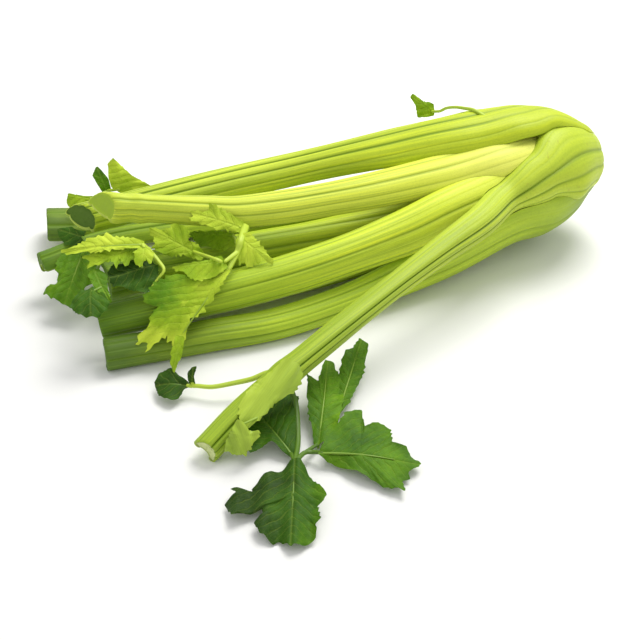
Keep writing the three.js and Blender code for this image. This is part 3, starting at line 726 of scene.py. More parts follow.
# %% Cutting a piece by its neighbours
def read(items, key, width, kind=np.int32):
    """One fact of every edge or face, such as its finish, with width numbers for each."""
    values = np.empty(width * len(items), kind)
    items.foreach_get(key, values)
    return values.reshape(-1, width)


def biggest_island(mesh):
    """Each point takes the lowest number among the points it is joined to, again and again
    until nothing changes. Points of the commonest number stay."""
    joins = read(mesh.edges, "vertices", 2)
    label = np.arange(len(mesh.vertices))
    settled = False
    while not settled:
        low = label[joins].min(axis=1)
        lower = label.copy()
        for end in joins.T:
            np.minimum.at(lower, end, low)
        lower = lower[lower]
        settled = np.array_equal(lower, label)
        label = lower
    return label == np.bincount(label).argmax()


def keep_only(mesh, kept):
    """Takes out the points that aren't kept, and their faces."""
    loose = bmesh.new()
    loose.from_mesh(mesh)
    dropped = [point for point, stays in zip(loose.verts, kept) if not stays]
    bmesh.ops.delete(loose, geom=dropped, context="VERTS")
    loose.to_mesh(mesh)
    loose.free()


def cut_by_neighbours(name, mesh):
    """The mesh less all the cutters, as a new mesh."""
    raw = add_object(name + "_uncut", mesh)
    cut = raw.modifiers.new("cut", "BOOLEAN")
    cut.operation, cut.operand_type, cut.solver = "DIFFERENCE", "COLLECTION", "MANIFOLD"
    cut.collection = cutters
    graph = bpy.context.evaluated_depsgraph_get()
    result = bpy.data.meshes.new_from_object(raw.evaluated_get(graph), depsgraph=graph)
    bpy.data.objects.remove(raw)
    kept = biggest_island(result)
    if not kept.all():
        keep_only(result, kept)
    result.name = name
    return result


trial = cut_by_neighbours("trial", trial.mesh("trial"))
print("the trial stalk, cut by the blocks, has", len(trial.polygons), "faces")
bpy.data.meshes.remove(trial)

# %% [markdown]
# A finished piece has its materials, smooth shading that breaks where faces turn sharply,
# and two ties to the frame: it rides on the head's body, and the node it stands for is
# hidden. Clearing a mesh's list of materials makes every face forget which one it
# had, so that is read first and put back.

# %% A finished piece
def mark_cut_face(mesh):
    """The faces on the butt's cut plane take the third finish."""
    finishes = read(mesh.polygons, "material_index", 1)
    plane = to_scene((CUT_X, 0, 0))[0]
    finishes[read(mesh.polygons, "center", 3, np.float32)[:, 0] > plane - 1e-5] = 2
    mesh.polygons.foreach_set("material_index", finishes.ravel())


def finished_piece(name, mesh, materials, stands_for, sharp=40):
    """Puts the mesh in the scene as a piece that rides on the head and replaces a node."""
    piece = add_object(name, mesh)
    finishes = read(mesh.polygons, "material_index", 1).ravel()
    mesh.materials.clear()
    for material in materials:
        mesh.materials.append(material)
    mesh.polygons.foreach_set("material_index", finishes)
    mesh.polygons.foreach_set("use_smooth", [True] * len(mesh.polygons))
    mesh.set_sharp_from_angle(angle=math.radians(sharp))
    mesh.update()
    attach(piece, "root")
    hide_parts(stands_for)


print("pieces will stand for", len(frame["nodes"]), "nodes")

# %% [markdown]
# ## Finishes of the stalks
# Celery's back is yellow-green where light reached it and nearly white where it was
# wrapped up. Pale strands run along the ribs, dark thin lines lie in the grooves, and both
# fade out towards the root. A painted picture could show this, but it would blur close by.
# The colour is mixed instead from the place along the head, strands of noise stretched
# along the skin, and the groove map. The dark tones at the tips of the low and inner
# stalks, and at the roots of the low ones, are partly painted shade.

# %% Stalk skin
GROOVE_GREEN = linear(0.40, 0.53, 0.08)
HOLLOW_GREEN = linear(0.72, 0.80, 0.34)
BRUISE = linear(0.60, 0.50, 0.22)


def stalk_skin(name, seed, tones, tip_x, root_x=0.19, deep=1.0, bruised=0.0, lines=1.0,
               root_groove=0.3):
    """Four tones from tip to root, by the share of the way between tip_x and root_x."""
    f = Finish(name)
    x, y, z = f.place()
    around, along = f.uv("skin")
    groove, back = f.uv("relief")
    blotch = f.noise(f.vector(x, y * 2.0, z * 2.0 + seed), 24.0, 3.0)
    way = ((x - tip_x) / (root_x - tip_x) + (blotch - 0.5) * 0.22).held()
    tone = f.ramp(way, list(zip((0.0, 0.3, 0.72, 1.0), tones)))
    strands = f.noise(f.vector(around * 0.75, along * 0.009, seed), 1.0, 3.0, 0.6)
    fibres = f.noise(f.vector(around * 3.2, along * 0.025, seed + 5.0), 1.0, 2.0)
    calm = f.between(way, 0.6, 0.85, 1.0, 0.35) * lines
    grain = f.noise(f.vector(around, along * 0.4, seed), 2.2, 3.0, 0.7)
    pale = f.mix(1.0, tone, linear(1.0, 0.99, 0.72), "SOFT_LIGHT")
    deeper = f.mix(0.75, tone, GROOVE_GREEN)
    colour = f.mix(f.between(strands, 0.45, 0.7) * calm * 0.75, tone, pale)
    colour = f.mix(f.between(strands, 0.5, 0.3) * calm * 0.5, colour, deeper)
    colour = f.mix(f.between(fibres, 0.52, 0.75) * calm * 0.35, colour, deeper)
    colour = f.mix(f.between(grain, 0.5, 0.72) * 0.25, colour, deeper)
    colour = f.mix(f.between(grain, 0.46, 0.3) * 0.2, colour, pale)
    fade = f.between(way, 0.7, 0.86, 1.0, root_groove)
    in_groove = f.between(groove, 0.1, 0.75) * fade * (0.8 * deep)
    colour = f.mix(in_groove.held(), colour, GROOVE_GREEN)
    colour = f.mix((1 - back) * 0.5, colour, HOLLOW_GREEN)
    if bruised:
        spots = f.noise(f.vector(around * 0.5, along * 0.25, seed + 9.0), 1.0, 4.0, 0.7)
        colour = f.mix(f.between(spots, 0.60, 0.74) * bruised, colour, BRUISE)
    rough = 0.36 + 0.14 * fibres + 0.08 * blotch
    height = strands * 0.5 + fibres * 0.3 + grain * 0.3
    return f.wear(colour=colour, roughness=rough, normal=f.bump(height, 0.0005, 0.6), specular=0.25)


print("the grooves are", [round(v, 3) for v in GROOVE_GREEN])

# %% [markdown]
# A cut end shows the flesh in soft clouds, an edge of another green, and the ends of the
# strands as small dots. The butt's sawn face has gone brown in places. Both take their
# patterns from coordinates that lie in the cut, so nothing is drawn out along the stalk.

# %% Cut ends
def end_finish(name, flesh, edge, seed):
    """Flesh in clouds, an edge, and a dot in every cell of a Voronoi pattern."""
    f = Finish(name)
    across, up = f.uv("skin")
    inward, _ = f.uv("relief")
    where = f.vector(across, up, seed)
    dots = f.node("ShaderNodeTexVoronoi", None, {"Vector": where, "Scale": 0.42})
    cloud = f.noise(where, 0.22, 4.0)
    colour = f.mix(f.between(cloud, 0.3, 0.7), flesh, f.mix(0.35, flesh, edge))
    rim = f.between(abs(inward - 0.5), 0.3, 0.5)
    colour = f.mix(rim * 0.8, colour, edge)
    colour = f.mix(f.between(dots, 0.12, 0.3, 0.5, 0.0), colour, edge)
    height = f.bump(cloud - dots * 0.4, 0.0005, 0.6)
    return f.wear(colour=colour, roughness=0.6 + 0.2 * cloud, normal=height, specular=0.2)


def butt_finish(name, flesh, seed):
    """The sawn face of the butt: cream flesh gone brown in clouds, with fine saw lines."""
    f = Finish(name)
    x, y, z = f.place()
    where = f.vector(y, z, x + seed)
    cloud = f.noise(where, 90.0, 4.0, 0.6)
    pores = f.noise(where, 900.0, 2.0)
    lines = f.noise(f.vector(y * 40.0, z * 900.0, seed), 1.0, 1.0)
    colour = f.mix(f.between(cloud, 0.42, 0.66) * 0.75, flesh, linear(0.66, 0.50, 0.28))
    colour = f.mix(f.between(pores, 0.55, 0.7) * 0.35, colour, linear(0.45, 0.36, 0.18))
    height = lines * 0.3 + pores * 0.7
    return f.wear(colour=colour, roughness=0.6 + 0.15 * cloud, normal=f.bump(height, 0.0004, 0.7))


fallen_end = end_finish("fallen_end", linear(0.82, 0.86, 0.60), linear(0.50, 0.56, 0.24), 3.0)
pale_end = end_finish("pale_end", linear(0.62, 0.73, 0.22), linear(0.66, 0.78, 0.20), 5.0)
# The dark green of the stalks' own cut ends is partly painted shade: these ends face away from the lamp.
stalk_end = end_finish("stalk_end", linear(0.36, 0.48, 0.15), linear(0.30, 0.43, 0.10), 2.0)
butt_face = butt_finish("butt_face", linear(0.88, 0.85, 0.60), 4.0)
print("finishes:", stalk_end.name, butt_face.name)

# %% [markdown]
# The core of the butt is a blunt cone about the head's axis, with a slight wobble so that
# it doesn't look turned on a lathe. It fills the middle of the cut face.

# %% The butt
def core_shell(grow=0.0, sides=72, rows=40):
    """Radius against depth: r, 0.9 r at 0.4 of the length, 0.6 r at 0.8, nothing at the end,
    times 1 - 0.02 (1 + sin(5 a + 4 depth)). The cut face is rings of shrinking radius round
    a small face in the middle."""
    depth_keys, radius_keys = [0, 0.4, 0.8, 1], [1, 0.9, 0.6, 0]
    depth = np.linspace(0, 1, rows, endpoint=False)
    radius = np.interp(depth, depth_keys, radius_keys) * (CORE_R + grow)
    a = np.linspace(0, 2 * np.pi, sides, endpoint=False)
    wobble = 1 - 0.02 * (1 + np.sin(5 * a + depth[:, None] * 4)) * (grow == 0)
    faces_in = np.linspace(0.12, 1, 9)[:-1]
    reach = np.concatenate([faces_in[:, None] * radius[0] * wobble[:1], radius[:, None] * wobble])
    back = np.concatenate([np.zeros(len(faces_in)), depth * (CORE_LENGTH + grow)])[:, None]
    y, z = (middle + reach * turn for middle, turn in zip(AXIS_AT_CUT, (np.cos(a), np.sin(a))))
    shell = Shell()
    numbers = shell.add_points(together(CUT_X - back, y, z))
    skin = together(np.append(a, 2 * np.pi) * CORE_R, back)
    shell.add_grid(wrapped(numbers), skin, 0 * skin)
    shell.add_faces(numbers[:1], 0, 0)
    point = shell.add_points([[CUT_X - CORE_LENGTH - grow, *AXIS_AT_CUT]])
    last = numbers[-1]
    fan = np.column_stack([last, np.roll(last, -1), np.repeat(point, sides)])
    shell.add_faces(fan, 0, 0)
    return shell


butt_mesh = core_shell().mesh("butt_fine")
finished_piece("butt_fine", butt_mesh, [butt_face], "butt")
add_cutter("butt_grown", core_shell(GAP).mesh("butt_grown"))
print("the butt has", len(butt_mesh.polygons), "faces")

# %% [markdown]
# Now the stalks, in the order in which they claim their space. The one that fell across
# the head goes first, because it lies on top.

# %% The nine stalks
def four_tones(*shades):
    """From tip to root, out of the shades of a screen."""
    return [linear(*shade) for shade in shades]


BRIGHT = four_tones((0.62, 0.72, 0.18), (0.78, 0.86, 0.27), (0.73, 0.80, 0.17), (0.69, 0.76, 0.15))
# OLIVE: the dark tip is partly the greener tip of a real stalk and partly painted shadow of the leaves that
# lie over the left ends; the dark root is painted shade on the low side of the sheath.
OLIVE = four_tones((0.32, 0.43, 0.14), (0.68, 0.79, 0.22), (0.70, 0.80, 0.22), (0.44, 0.55, 0.13))
HEART = four_tones((0.76, 0.84, 0.26), (0.81, 0.87, 0.29), (0.85, 0.89, 0.30), (0.93, 0.94, 0.44))
# SHADED: the inner stalks' pale root is their own colour; their dark tip is painted shade, where the leaves
# and the stalks above shade their ends.
SHADED = four_tones((0.34, 0.48, 0.11), (0.66, 0.77, 0.18), (0.82, 0.89, 0.24), (0.88, 0.91, 0.34))
FALLEN = four_tones((0.58, 0.69, 0.19), (0.61, 0.71, 0.20), (0.72, 0.80, 0.25), (0.70, 0.78, 0.18))

SKINS = {
    "stalk_across": {"tones": FALLEN, "tip_x": -0.13, "bruised": 0.5, "root_groove": 0.65, "lines": 0.85},
    "stalk_top_back": {"tones": BRIGHT, "tip_x": -0.17, "root_groove": 0.5},
    # This stalk's tip_x carries its dark end, partly painted shadow, further along.
    "stalk_bottom_front": {"tones": OLIVE, "tip_x": -0.145, "deep": 0.6, "lines": 0.8},
    "stalk_bottom": {"tones": OLIVE, "tip_x": -0.15},
    "stalk_bottom_back": {"tones": OLIVE, "tip_x": -0.17},
    "stalk_inner_top": {"tones": HEART, "tip_x": -0.15, "root_x": 0.13, "deep": 0.7},
    "stalk_inner_front": {"tones": SHADED, "tip_x": -0.15, "root_x": 0.13, "deep": 0.6},
    "stalk_inner_middle": {"tones": SHADED, "tip_x": -0.16, "root_x": 0.10, "deep": 0.6},
    "stalk_inner_back": {"tones": SHADED, "tip_x": -0.17, "root_x": 0.10},
}
OWN_ENDS = {"stalk_across": fallen_end, "stalk_inner_top": pale_end}

for count, name in enumerate(stalks):
    mesh = cut_by_neighbours(name + "_fine", stalk_shell(name).mesh(name))
    mark_cut_face(mesh)
    skin = stalk_skin(name + "_skin", count + 1.0, **SKINS[name])
    slot = "heart" if layer_of(name) == "inner" else "stalk"
    finishes = [skin, OWN_ENDS.get(name, stalk_end), butt_face]
    finished_piece(name + "_fine", mesh, finishes, name)
    grown = stalk_shell(name, stations=70, per_rib=4, grow=GAP)
    add_cutter(name + "_grown", grown.mesh(name + "_grown"))
    print(name, "has", len(mesh.polygons), "faces")

# %% [markdown]
# ## Leaves
# Each spray is a few thin stems and the blades that grow from them. A blade lies along a
# line from its base to its tip, rolled a little about that line and arched. Its rim is
# listed as lobes round an eye in its middle, each by its place along and across and by how
# far the notch after it reaches in. They are those of the solid model, only the blade
# "broad" is drawn a little wider here. Blades cut out of a picture would be quicker, but
# they would have no thickness and no edge of their own.

# %% The sprays
BLADE = {"curl": 0.015, "bow": 1, "vein": 0, "lean": 0, "pale_tip": 0, "teeth": (1.5, 5),
         "pleat": (10, 0), "wave": 0.1, "plain": False}


def blade(base, tip, eye, **more):
    return {"base": base, "tip": tip, "eye": eye, **more}


def stem(radii, *through):
    """A stem's points, and its radius at its two ends."""
    return through, radii


def spray(stem_tone, stems, blades, face=None):
    """A spray whose blades face one way and are of the usual kind unless they say otherwise."""
    blades = [{**BLADE, "face": face, **own} for own in blades.values()]
    return {"stem_tone": stem_tone, "stems": stems, "blades": blades}


SPRAYS = {
    "leaf_front": spray(stem_tone=0.05, stems=[
        stem((1.6, 1.4), (-72, -117, 16), (-70.5, -125, 9), (-74, -139.5, 5), (-79, -155, 5),
        (-86.5, -172.5, 9)),
        stem((1.4, 1.1), (-86, -172, 9), (-78.5, -164, 6.5), (-74, -163.5, 5.5), (-69.5, -168.5, 8)),
        stem((1.1, 0.9), (-78.5, -164, 6.5), (-67.5, -155.5, 3)),
        stem((1.3, 1.1), (-86, -171.5, 9), (-84.5, -160, 5)),
    ], blades={
    "down": blade((-85.5, -170.5, 9.5), (-104.5, -222, 2.5), (24, 0), face=(-0.05, -0.1, 1), curl=0.003,
        bow=2, vein=0.75, tone=0.2, lean=0.012, teeth=(1, 6), pleat=(15, 1.8),
        lobes=[(6, -7, -0.1), (16, -21, 0.2), (18, -33, 0.15), (28, -35, 0), (38, -30, -0.05),
        (33, -15, 0.15), (42, -19, -0.05), (52, -11, -0.05), (52, -6, 0), (57, 0, -0.05), (51, 12, 0.1),
        (41, 14, 0.2), (26, 17, 0), (1, 3, -0.15)]),
    "right": blade((-72, -167.5, 8), (-23.5, -190, 4.5), (22, 0), face=(0, -0.15, 1), curl=0.004, bow=3,
        vein=0.75, tone=0.36, teeth=(1.2, 6.5), wave=0.14,
        lobes=[(0, -1, 0.1), (40, -20, 0.1), (47, -21, 0), (45, -12, -0.1), (48, -6, -0.25), (48, 7, 0),
        (46, 13, 0), (38, 12, -0.2), (30, 28, 0), (26, 24, 0.3), (20, 35, 0), (12, 28, -0.05)]),
    "up": blade((-69, -158.5, 2), (-43, -100, 12), (26, 0), face=(0.1, -0.2, 1), curl=-0.012, bow=4,
        vein=0.75, tone=0.4, lean=-0.012, teeth=(1.1, 6),
        lobes=[(15, -9, -0.25), (54, -8, -0.15), (66, 2, 0.35), (51, 11, -0.25), (0, 2, -0.15)]),
    "up_far": blade((-54.5, -144, 3.5), (-17.5, -87, 13), (30, 0), face=(0.1, -0.25, 0.95), curl=0.014,
        bow=3, vein=0.7, tone=0.42, teeth=(1.1, 6),
        lobes=[(41, -7, -0.45), (69, 1, 0.15), (55, 7, -0.2), (7, 4, 0), (0, 1, -0.35)]),
    "left": blade((-84, -162.5, 5), (-94, -120, 7), (22, 0), face=(0, -0.05, 1), curl=0.008, bow=2,
        vein=0.7, tone=0.2, teeth=(0.6, 6),
        lobes=[(1, -3, 0.1), (40, -28, -0.05), (47, -16, -0.1), (42, 3, -0.15), (22, 13, -0.2),
        (12, 19, 0.45), (0, 1, 0)]),
    }),
    "leaf_collar": spray(stem_tone=0.45, face=(0.1, -0.75, 0.65), stems=[
        stem((0.7, 0.5), (-97, -144.5, 20.5), (-107.5, -148.5, 21.5)),
    ], blades={
    # The collar's lean paints its upper part lighter where light falls and its lower edge darker in shade.
    "collar": blade((-71, -128, 36), (-103.5, -148.5, 16.5), (20, 0), curl=0.08, bow=0.5, tone=0.64,
        lean=-0.014, teeth=(2, 5), wave=0.05, pleat=(8, 0.8), plain=True,
        lobes=[(7, -10, -0.3), (36, -13, -0.1), (43, -1, 0.35), (10, 9, -0.25), (-2, 1, -0.2)]),
    "hem": blade((-108, -147, 23.5), (-105, -158, 10), (9, 0), curl=0.04, bow=0.5, tone=0.62, lean=0.012,
        teeth=(2, 4), pleat=(6, 0.9), plain=True,
        lobes=[(-1, -1, -0.1), (11, -13, -0.25), (18, -3, 0.05), (10, 9, 0), (7, 3, -0.25)]),
    }),
    "shoot_front": spray(stem_tone=0.85, stems=[
        stem((1.7, 1.2), (-72.5, -111, 20), (-80, -105, 17), (-88.5, -102.5, 13), (-97.5, -99, 10),
        (-109.5, -96, 8), (-117.5, -91, 7), (-120.5, -89.5, 6.5)),
        stem((1.2, 1), (-119.5, -90, 6.5), (-123, -88, 6.5)),
        stem((1.2, 1), (-119.5, -90, 6.5), (-119.5, -89, 9)),
    ], blades={
    "dark": blade((-121.5, -88.5, 6), (-138.5, -81.5, 6.5), (8, 0), face=(-0.1, -0.35, 0.95), curl=-0.02,
        bow=2, vein=0.6, tone=0.1, teeth=(0.8, 5),
        lobes=[(0, -2, 0.15), (11, -10, -0.35), (20, -1, -0.35), (8, 12, -0.25), (2, 3, -0.15)]),
    "curl": blade((-120, -89.5, 6.5), (-118, -87, 17.5), (6, 0), face=(-0.3, -0.9, 0.3), curl=0.03,
        tone=0.12, teeth=(0.3, 5),
        lobes=[(1, -2, 0.6), (12, -2, -0.3), (8, 3, -0.2), (0, 1, 0)]),
    }),
    "sprig_middle": spray(stem_tone=0.9, face=(-0.2, -0.6, 0.75), stems=[
        stem((2.6, 1.4), (-61.5, -1.5, 50), (-70, -21.5, 53), (-74, -26.5, 48.5), (-83, -37, 43)),
        stem((1.4, 0.9), (-71.5, -23.5, 51.5), (-66.5, 11, 37)),
        stem((1.6, 1), (-51, 39.5, 22.5), (-66.5, -6.5, 53)),
        stem((1.6, 1), (-70.5, -22.5, 52.5), (-69, -20.5, 52.5)),
        stem((1.6, 1), (-73.5, -26.5, 48.5), (-84.5, -35.5, 49)),
        stem((1.2, 1), (-85.5, -35.5, 49), (-89.5, -33.5, 51), (-96, -5.5, 41)),
        stem((0.9, 0.7), (-118.5, -60.5, 20.5), (-120.5, -69.5, 25.5)),
    ], blades={
    # The drooping leaf's lean paints one edge lighter, where light falls on it.
    "drooping": blade((-82, -36, 44), (-122.5, -63, 17.5), (32, -9), face=(-0.1, -0.6, 0.8), curl=0.003,
        bow=3, vein=0.85, tone=0.8, lean=0.013, pale_tip=0.35, pleat=(10, 0.9), teeth=(2.8, 6),
        lobes=[(16, -9, -0.45), (32, -30, 0), (45, -30, 0.3), (47, -22, 0), (56, -19, -0.3),
        (62, -16, -0.4), (54, -8, -0.2), (49, 3, 0.35), (34, 2, -0.1), (1, 2, -0.3)]),
    "low_left": blade((-82.5, -36, 49), (-112.5, -28, 47), (14, 0), face=(-0.2, -0.55, 0.8), curl=-0.01,
        bow=1.5, tone=0.7, teeth=(1.6, 4),
        lobes=[(3, -4, 0.35), (32, 0, -0.15), (26, 4, -0.15), (17, 11, -0.2), (0, 3, 0)]),
    "behind": blade((-65, 10, 37), (-94, 21, 38), (14, 0), curl=-0.015, tone=0.68, teeth=(1.6, 4),
        lobes=[(2, -2, -0.35), (31, -1, -0.6), (6, 11, -0.4)]),
    "upper_left": blade((-88.5, -11, 37), (-118, 14.5, 49.5), (17, 0), curl=-0.012, bow=2, tone=0.8,
        teeth=(2.3, 4.5),
        lobes=[(9, -5, 0.45), (19, -11, -0.05), (29, -10, 0.25), (41, -1, -0.1), (34, 4, -0.35),
        (23, 10, 0.25), (3, 3, -0.3)]),
    "upper": blade((-65, -7.5, 52.5), (-92.5, 11, 58.5), (15, 0), face=(-0.25, -0.65, 0.75), curl=-0.012,
        bow=1.5, tone=0.85, teeth=(2.2, 4),
        lobes=[(1, -4, 0), (25, -9, 0), (23, -5, 0.15), (35, -1, 0.15), (33, 4, -0.6), (0, 3, 0)]),
    "right": blade((-70, -19, 53), (-56.5, -35.5, 43.5), (9, 0), curl=0.012, bow=1.5, tone=0.85,
        teeth=(2.4, 3.5),
        lobes=[(3, -8, 0), (10, -13, 0.2), (15, -12, 0.05), (21, -1, 0), (26, 0, -0.25), (4, 6, 0),
        (-1, 4, -0.25)]),
    "twisted": blade((-119.5, -68, 27.5), (-128.5, -80.5, 11.5), (10, 0), face=(-0.2, -0.7, 0.65),
        curl=0.03, tone=0.8, teeth=(0.5, 4),
        lobes=[(1, -3, 0.15), (12, -4, 0.3), (17, -3, 0), (23, 1, 0.2), (13, 3, -0.15), (1, 2, 0)]),
    }),
    "leaves_left": spray(stem_tone=0.2, face=(-0.1, -0.4, 0.9), stems=[
        stem((1.5, 1.1), (-132.5, -3.5, 44), (-141.5, -0.5, 44), (-150, 5.5, 45), (-155, 10.5, 46),
        (-158, 30.5, 29.5)),
        stem((1.1, 0.9), (-154, 10, 46), (-155, 40.5, 36.5)),
        stem((1.1, 0.9), (-148, 3.5, 45), (-157, -19.5, 46.5)),
        stem((1.2, 0.9), (-134, -3, 44), (-130, -22.5, 46.5)),
        stem((0.8, 0.6), (-155.5, -28.5, 42.5), (-162.5, -31.5, 42.5)),
    ], blades={
    # The blade "shaded" is dark: its tone is painted shade, for the shade that falls under the heart leaves
    # and the stalks above it.
    "shaded": blade((-128, -22.5, 47), (-148.5, -23.5, 44), (7, 0), curl=0.01, bow=0, tone=0.12,
        teeth=(1.2, 4), pleat=(8, 0.8),
        lobes=[(7, -9, -0.35), (22, -5, -0.4), (14, 11, -0.35), (-3, 13, 0), (-7, 1, -0.45)]),
    "wedge": blade((-157.5, -17.5, 48), (-153.5, -40, 37.5), (10, 0), curl=0.02, bow=0, tone=0.45,
        teeth=(1, 4),
        lobes=[(-1, -2, -0.6), (11, -4, -0.4), (25, 1, 0.25), (6, 6, -0.35)]),
    "broad": blade((-156.5, 33, 30.5), (-175.5, 2.5, 14), (20, 0), bow=2, vein=0.6, tone=0.46,
        pleat=(7, 1.1),
        lobes=[(-2, -3, 0), (5, -13, -0.15), (20, -11, 0.25), (33, -17, 0), (40, 4, -0.4), (25, 9, -0.3),
        (9, 13, -0.2)]),
    "under": blade((-162, -29, 43.5), (-166, -46, 35.5), (10, 0), curl=0.02, tone=0.2, teeth=(0.9, 4),
        pleat=(7, 0.6),
        lobes=[(6, -10, -0.35), (16, -8, -0.2), (19, 4, -0.25), (9, 11, -0.15), (-1, 1, -0.25)]),
    "dull": blade((-153.5, 39, 36.5), (-169, 50.5, 39.5), (9, 0), face=(-0.3, -0.6, 0.7), bow=0, tone=0.15,
        teeth=(0.4, 5),
        lobes=[(1, -4, 0.25), (12, -4, 0), (20, 0, -0.15), (11, 8, -0.1), (1, 5, 0)]),
    }),
    "leaves_heart": spray(stem_tone=0.9, face=(-0.1, -0.45, 0.9), stems=[
        stem((1.1, 0.9), (-128, -12.5, 56.5), (-130.5, -11.5, 54)),
        stem((1.1, 0.9), (-127.5, -12.5, 56.5), (-127, -17, 56.5)),
        stem((1.8, 0.5), (-128, -12.5, 56.5), (-124, -14, 52), (-120.5, -22, 49), (-119, -29.5, 47),
        (-123.5, -31.5, 43), (-128.5, -35, 40)),
    ], blades={
    "lower": blade((-128.5, -11, 54.5), (-162, -16, 48.5), (14, 0), bow=2, tone=0.75, teeth=(2.4, 5),
        lobes=[(0, -4, -0.6), (33, -8, 0.15), (34, 0, 0.6), (19, 9, 0.6), (12, 10, 0.3), (3, 9, -0.1)]),
    "long": blade((-126.5, -13, 56.5), (-167, -5, 56), (18, 0), face=(-0.1, -0.5, 0.85), bow=2, vein=0.6,
        tone=0.88, teeth=(2.6, 5),
        lobes=[(11, -6, 0.35), (21, -11, 0.15), (27, -8, 0), (48, 0, 0), (42, 2, -0.25), (1, 3, -0.55)]),
    "small": blade((-126.5, -16, 57), (-130.5, -26, 51.5), (5, 0), tone=0.85,
        lobes=[(4, -6, -0.45), (14, -1, 0.45), (11, 5, -0.5), (0, 3, -0.6)]),
    }),
    "leaves_back": spray(stem_tone=0.7, face=(-0.1, -0.9, 0.4), stems=[
        stem((1.4, 1.2), (-79, 81, 36), (-87.5, 86, 35), (-94.5, 90.5, 34), (-98.5, 92, 35)),
        stem((1.1, 1), (-120.5, 95, 35.5), (-128.5, 102, 32)),
        stem((1, 1), (-128, 102, 31.5), (-141.5, 92.5, 33)),
    ], blades={
    "pale": blade((-97.5, 91.5, 34), (-121.5, 102.5, 53.5), (21, 9), curl=0.01, tone=0.9, teeth=(0.5, 5),
        lobes=[(0, 0, 0.25), (34, -1, -0.25), (30, 11, -0.6), (16, 16, -0.25)]),
    "dark": blade((-128, 101.5, 31), (-132, 109, 46), (8, 0), curl=0.02, tone=0.38, teeth=(0.3, 5),
        lobes=[(1, -3, -0.6), (15, -2, -0.2), (18, 1, 0), (14, 5, -0.05), (0, 3, 0)]),
    "crest": blade((-140, 92, 33), (-153.5, 98, 35.5), (7, 0), face=(-0.2, -0.75, 0.65), tone=0.75,
        teeth=(0.6, 4),
        lobes=[(-4, -3, 0.5), (16, -1, -0.25), (13, 9, -0.35), (5, 4, -0.6)]),
    }),
    "leaf_far": spray(stem_tone=0.75, face=(-0.1, -0.9, 0.4), stems=[
        stem((1.3, 1), (105, 18.5, 87.5), (101.5, 29, 88), (99, 37, 86), (95.5, 44.5, 84), (93, 52.5, 80),
        (91, 57.5, 76), (88, 64.5, 73)),
    ], blades={
    "blade": blade((89, 64, 72), (76.5, 70, 83), (8, 0), tone=0.65, teeth=(0.6, 4),
        lobes=[(3, -5, -0.25), (10, -2, 0), (19, -2, 0), (19, 1, 0.2), (7, 9, -0.05), (-2, 1, -0.05)]),
    }),
}

print(sum(len(spray["blades"]) for spray in SPRAYS.values()), "blades")

# %% [markdown]
# A celery leaf has deep lobes, and teeth on the lobes. The rim runs from lobe to lobe with
# a notch between. It is walked in equal steps and smoothed, and small forward teeth are
# pushed out along it. Listing every tooth would take a thousand points by hand.

# %% A blade's rim
STEPS_PER_MM, FEWEST_STEPS, MOST_STEPS = 1.9, 96, 380
BLUR = 0.5
TOOTH_RISE, TOOTH_FALL = 0.72, 0.28


def rim_line(blade):
    """Lobe tips and notches, each notch the middle between two tips drawn to the eye by the
    lobe's third number; then equal steps along it, smoothed, with teeth of uneven size and
    spacing, each rising slowly and falling fast, set outwards."""
    tips = np.array(blade["lobes"], float)
    eye = np.array(blade["eye"], float)
    halfway = (tips[:, :2] + np.roll(tips[:, :2], -1, axis=0)) / 2
    notches = halfway + (eye - halfway) * tips[:, 2:]
    both = np.stack([tips[:, :2], notches], axis=1).reshape(-1, 2)
    corners = both[np.stack([np.ones(len(tips), bool), tips[:, 2] != 0], axis=1).ravel()]
    closed = np.vstack([corners, corners[:1]])
    reach = np.concatenate([[0], np.cumsum(np.hypot(*np.diff(closed, axis=0).T))])
    girth = reach[-1]
    steps = int(np.clip(girth * STEPS_PER_MM, FEWEST_STEPS, MOST_STEPS))
    at = np.linspace(0, girth, steps, endpoint=False)
    rim = np.column_stack([np.interp(at, reach, closed[:, k]) for k in (0, 1)])
    blur = BLUR * steps / girth
    wave = np.fft.fftfreq(steps) * steps
    weight = np.exp(-0.5 * (2 * np.pi * wave * blur / steps) ** 2)
    rim = np.fft.ifft(np.fft.fft(rim, axis=0) * weight[:, None], axis=0).real
    ahead = np.roll(rim, -1, axis=0) - np.roll(rim, 1, axis=0)
    outward = unit(np.column_stack([ahead[:, 1], -ahead[:, 0]]))
    area = (rim[:, 0] * np.roll(rim[:, 1], -1) - rim[:, 1] * np.roll(rim[:, 0], -1)).sum()
    outward = outward * np.sign(area)
    depth, spacing = blade["teeth"]
    count = max(3, round(girth / spacing))
    turn = at / girth * 2 * np.pi
    phase = (at / girth * count + 0.5 * np.sin(3 * turn + girth) + 0.3 * np.sin(7 * turn)) % 1
    big = 0.6 + 0.4 * np.sin(5 * turn + girth) + 0.25 * np.sin(11 * turn)
    tooth = np.minimum(phase / TOOTH_RISE, (1 - phase) / TOOTH_FALL) ** 1.3 - 0.35
    free = np.clip((np.hypot(*rim.T) - 3) / 6, 0, 1)
    return rim + outward * (tooth * big * free * depth)[:, None]


print("the rim of a far blade has", len(rim_line(SPRAYS["leaf_far"]["blades"][0])), "points")

# %% [markdown]
# The blade is a grid of rings about the eye, carried on to the rolled and arched surface.
# It is wavy towards the rim, pleated, and creased along its side veins. An upper and an
# under side are made and joined by a thin edge, because a single sheet has no thickness
# for the export to keep.

# %% A blade's surface
HALF_THICK, SUNK, LOWEST = 0.24, 0.4, 0.5
VEIN_SPACING, VEIN_SLANT, CREASE = 5.5, 0.9, 0.18
WAVES = (1.6, 2.7, 4.4)


def blade_length(blade):
    return np.linalg.norm(np.subtract(blade["tip"], blade["base"]))


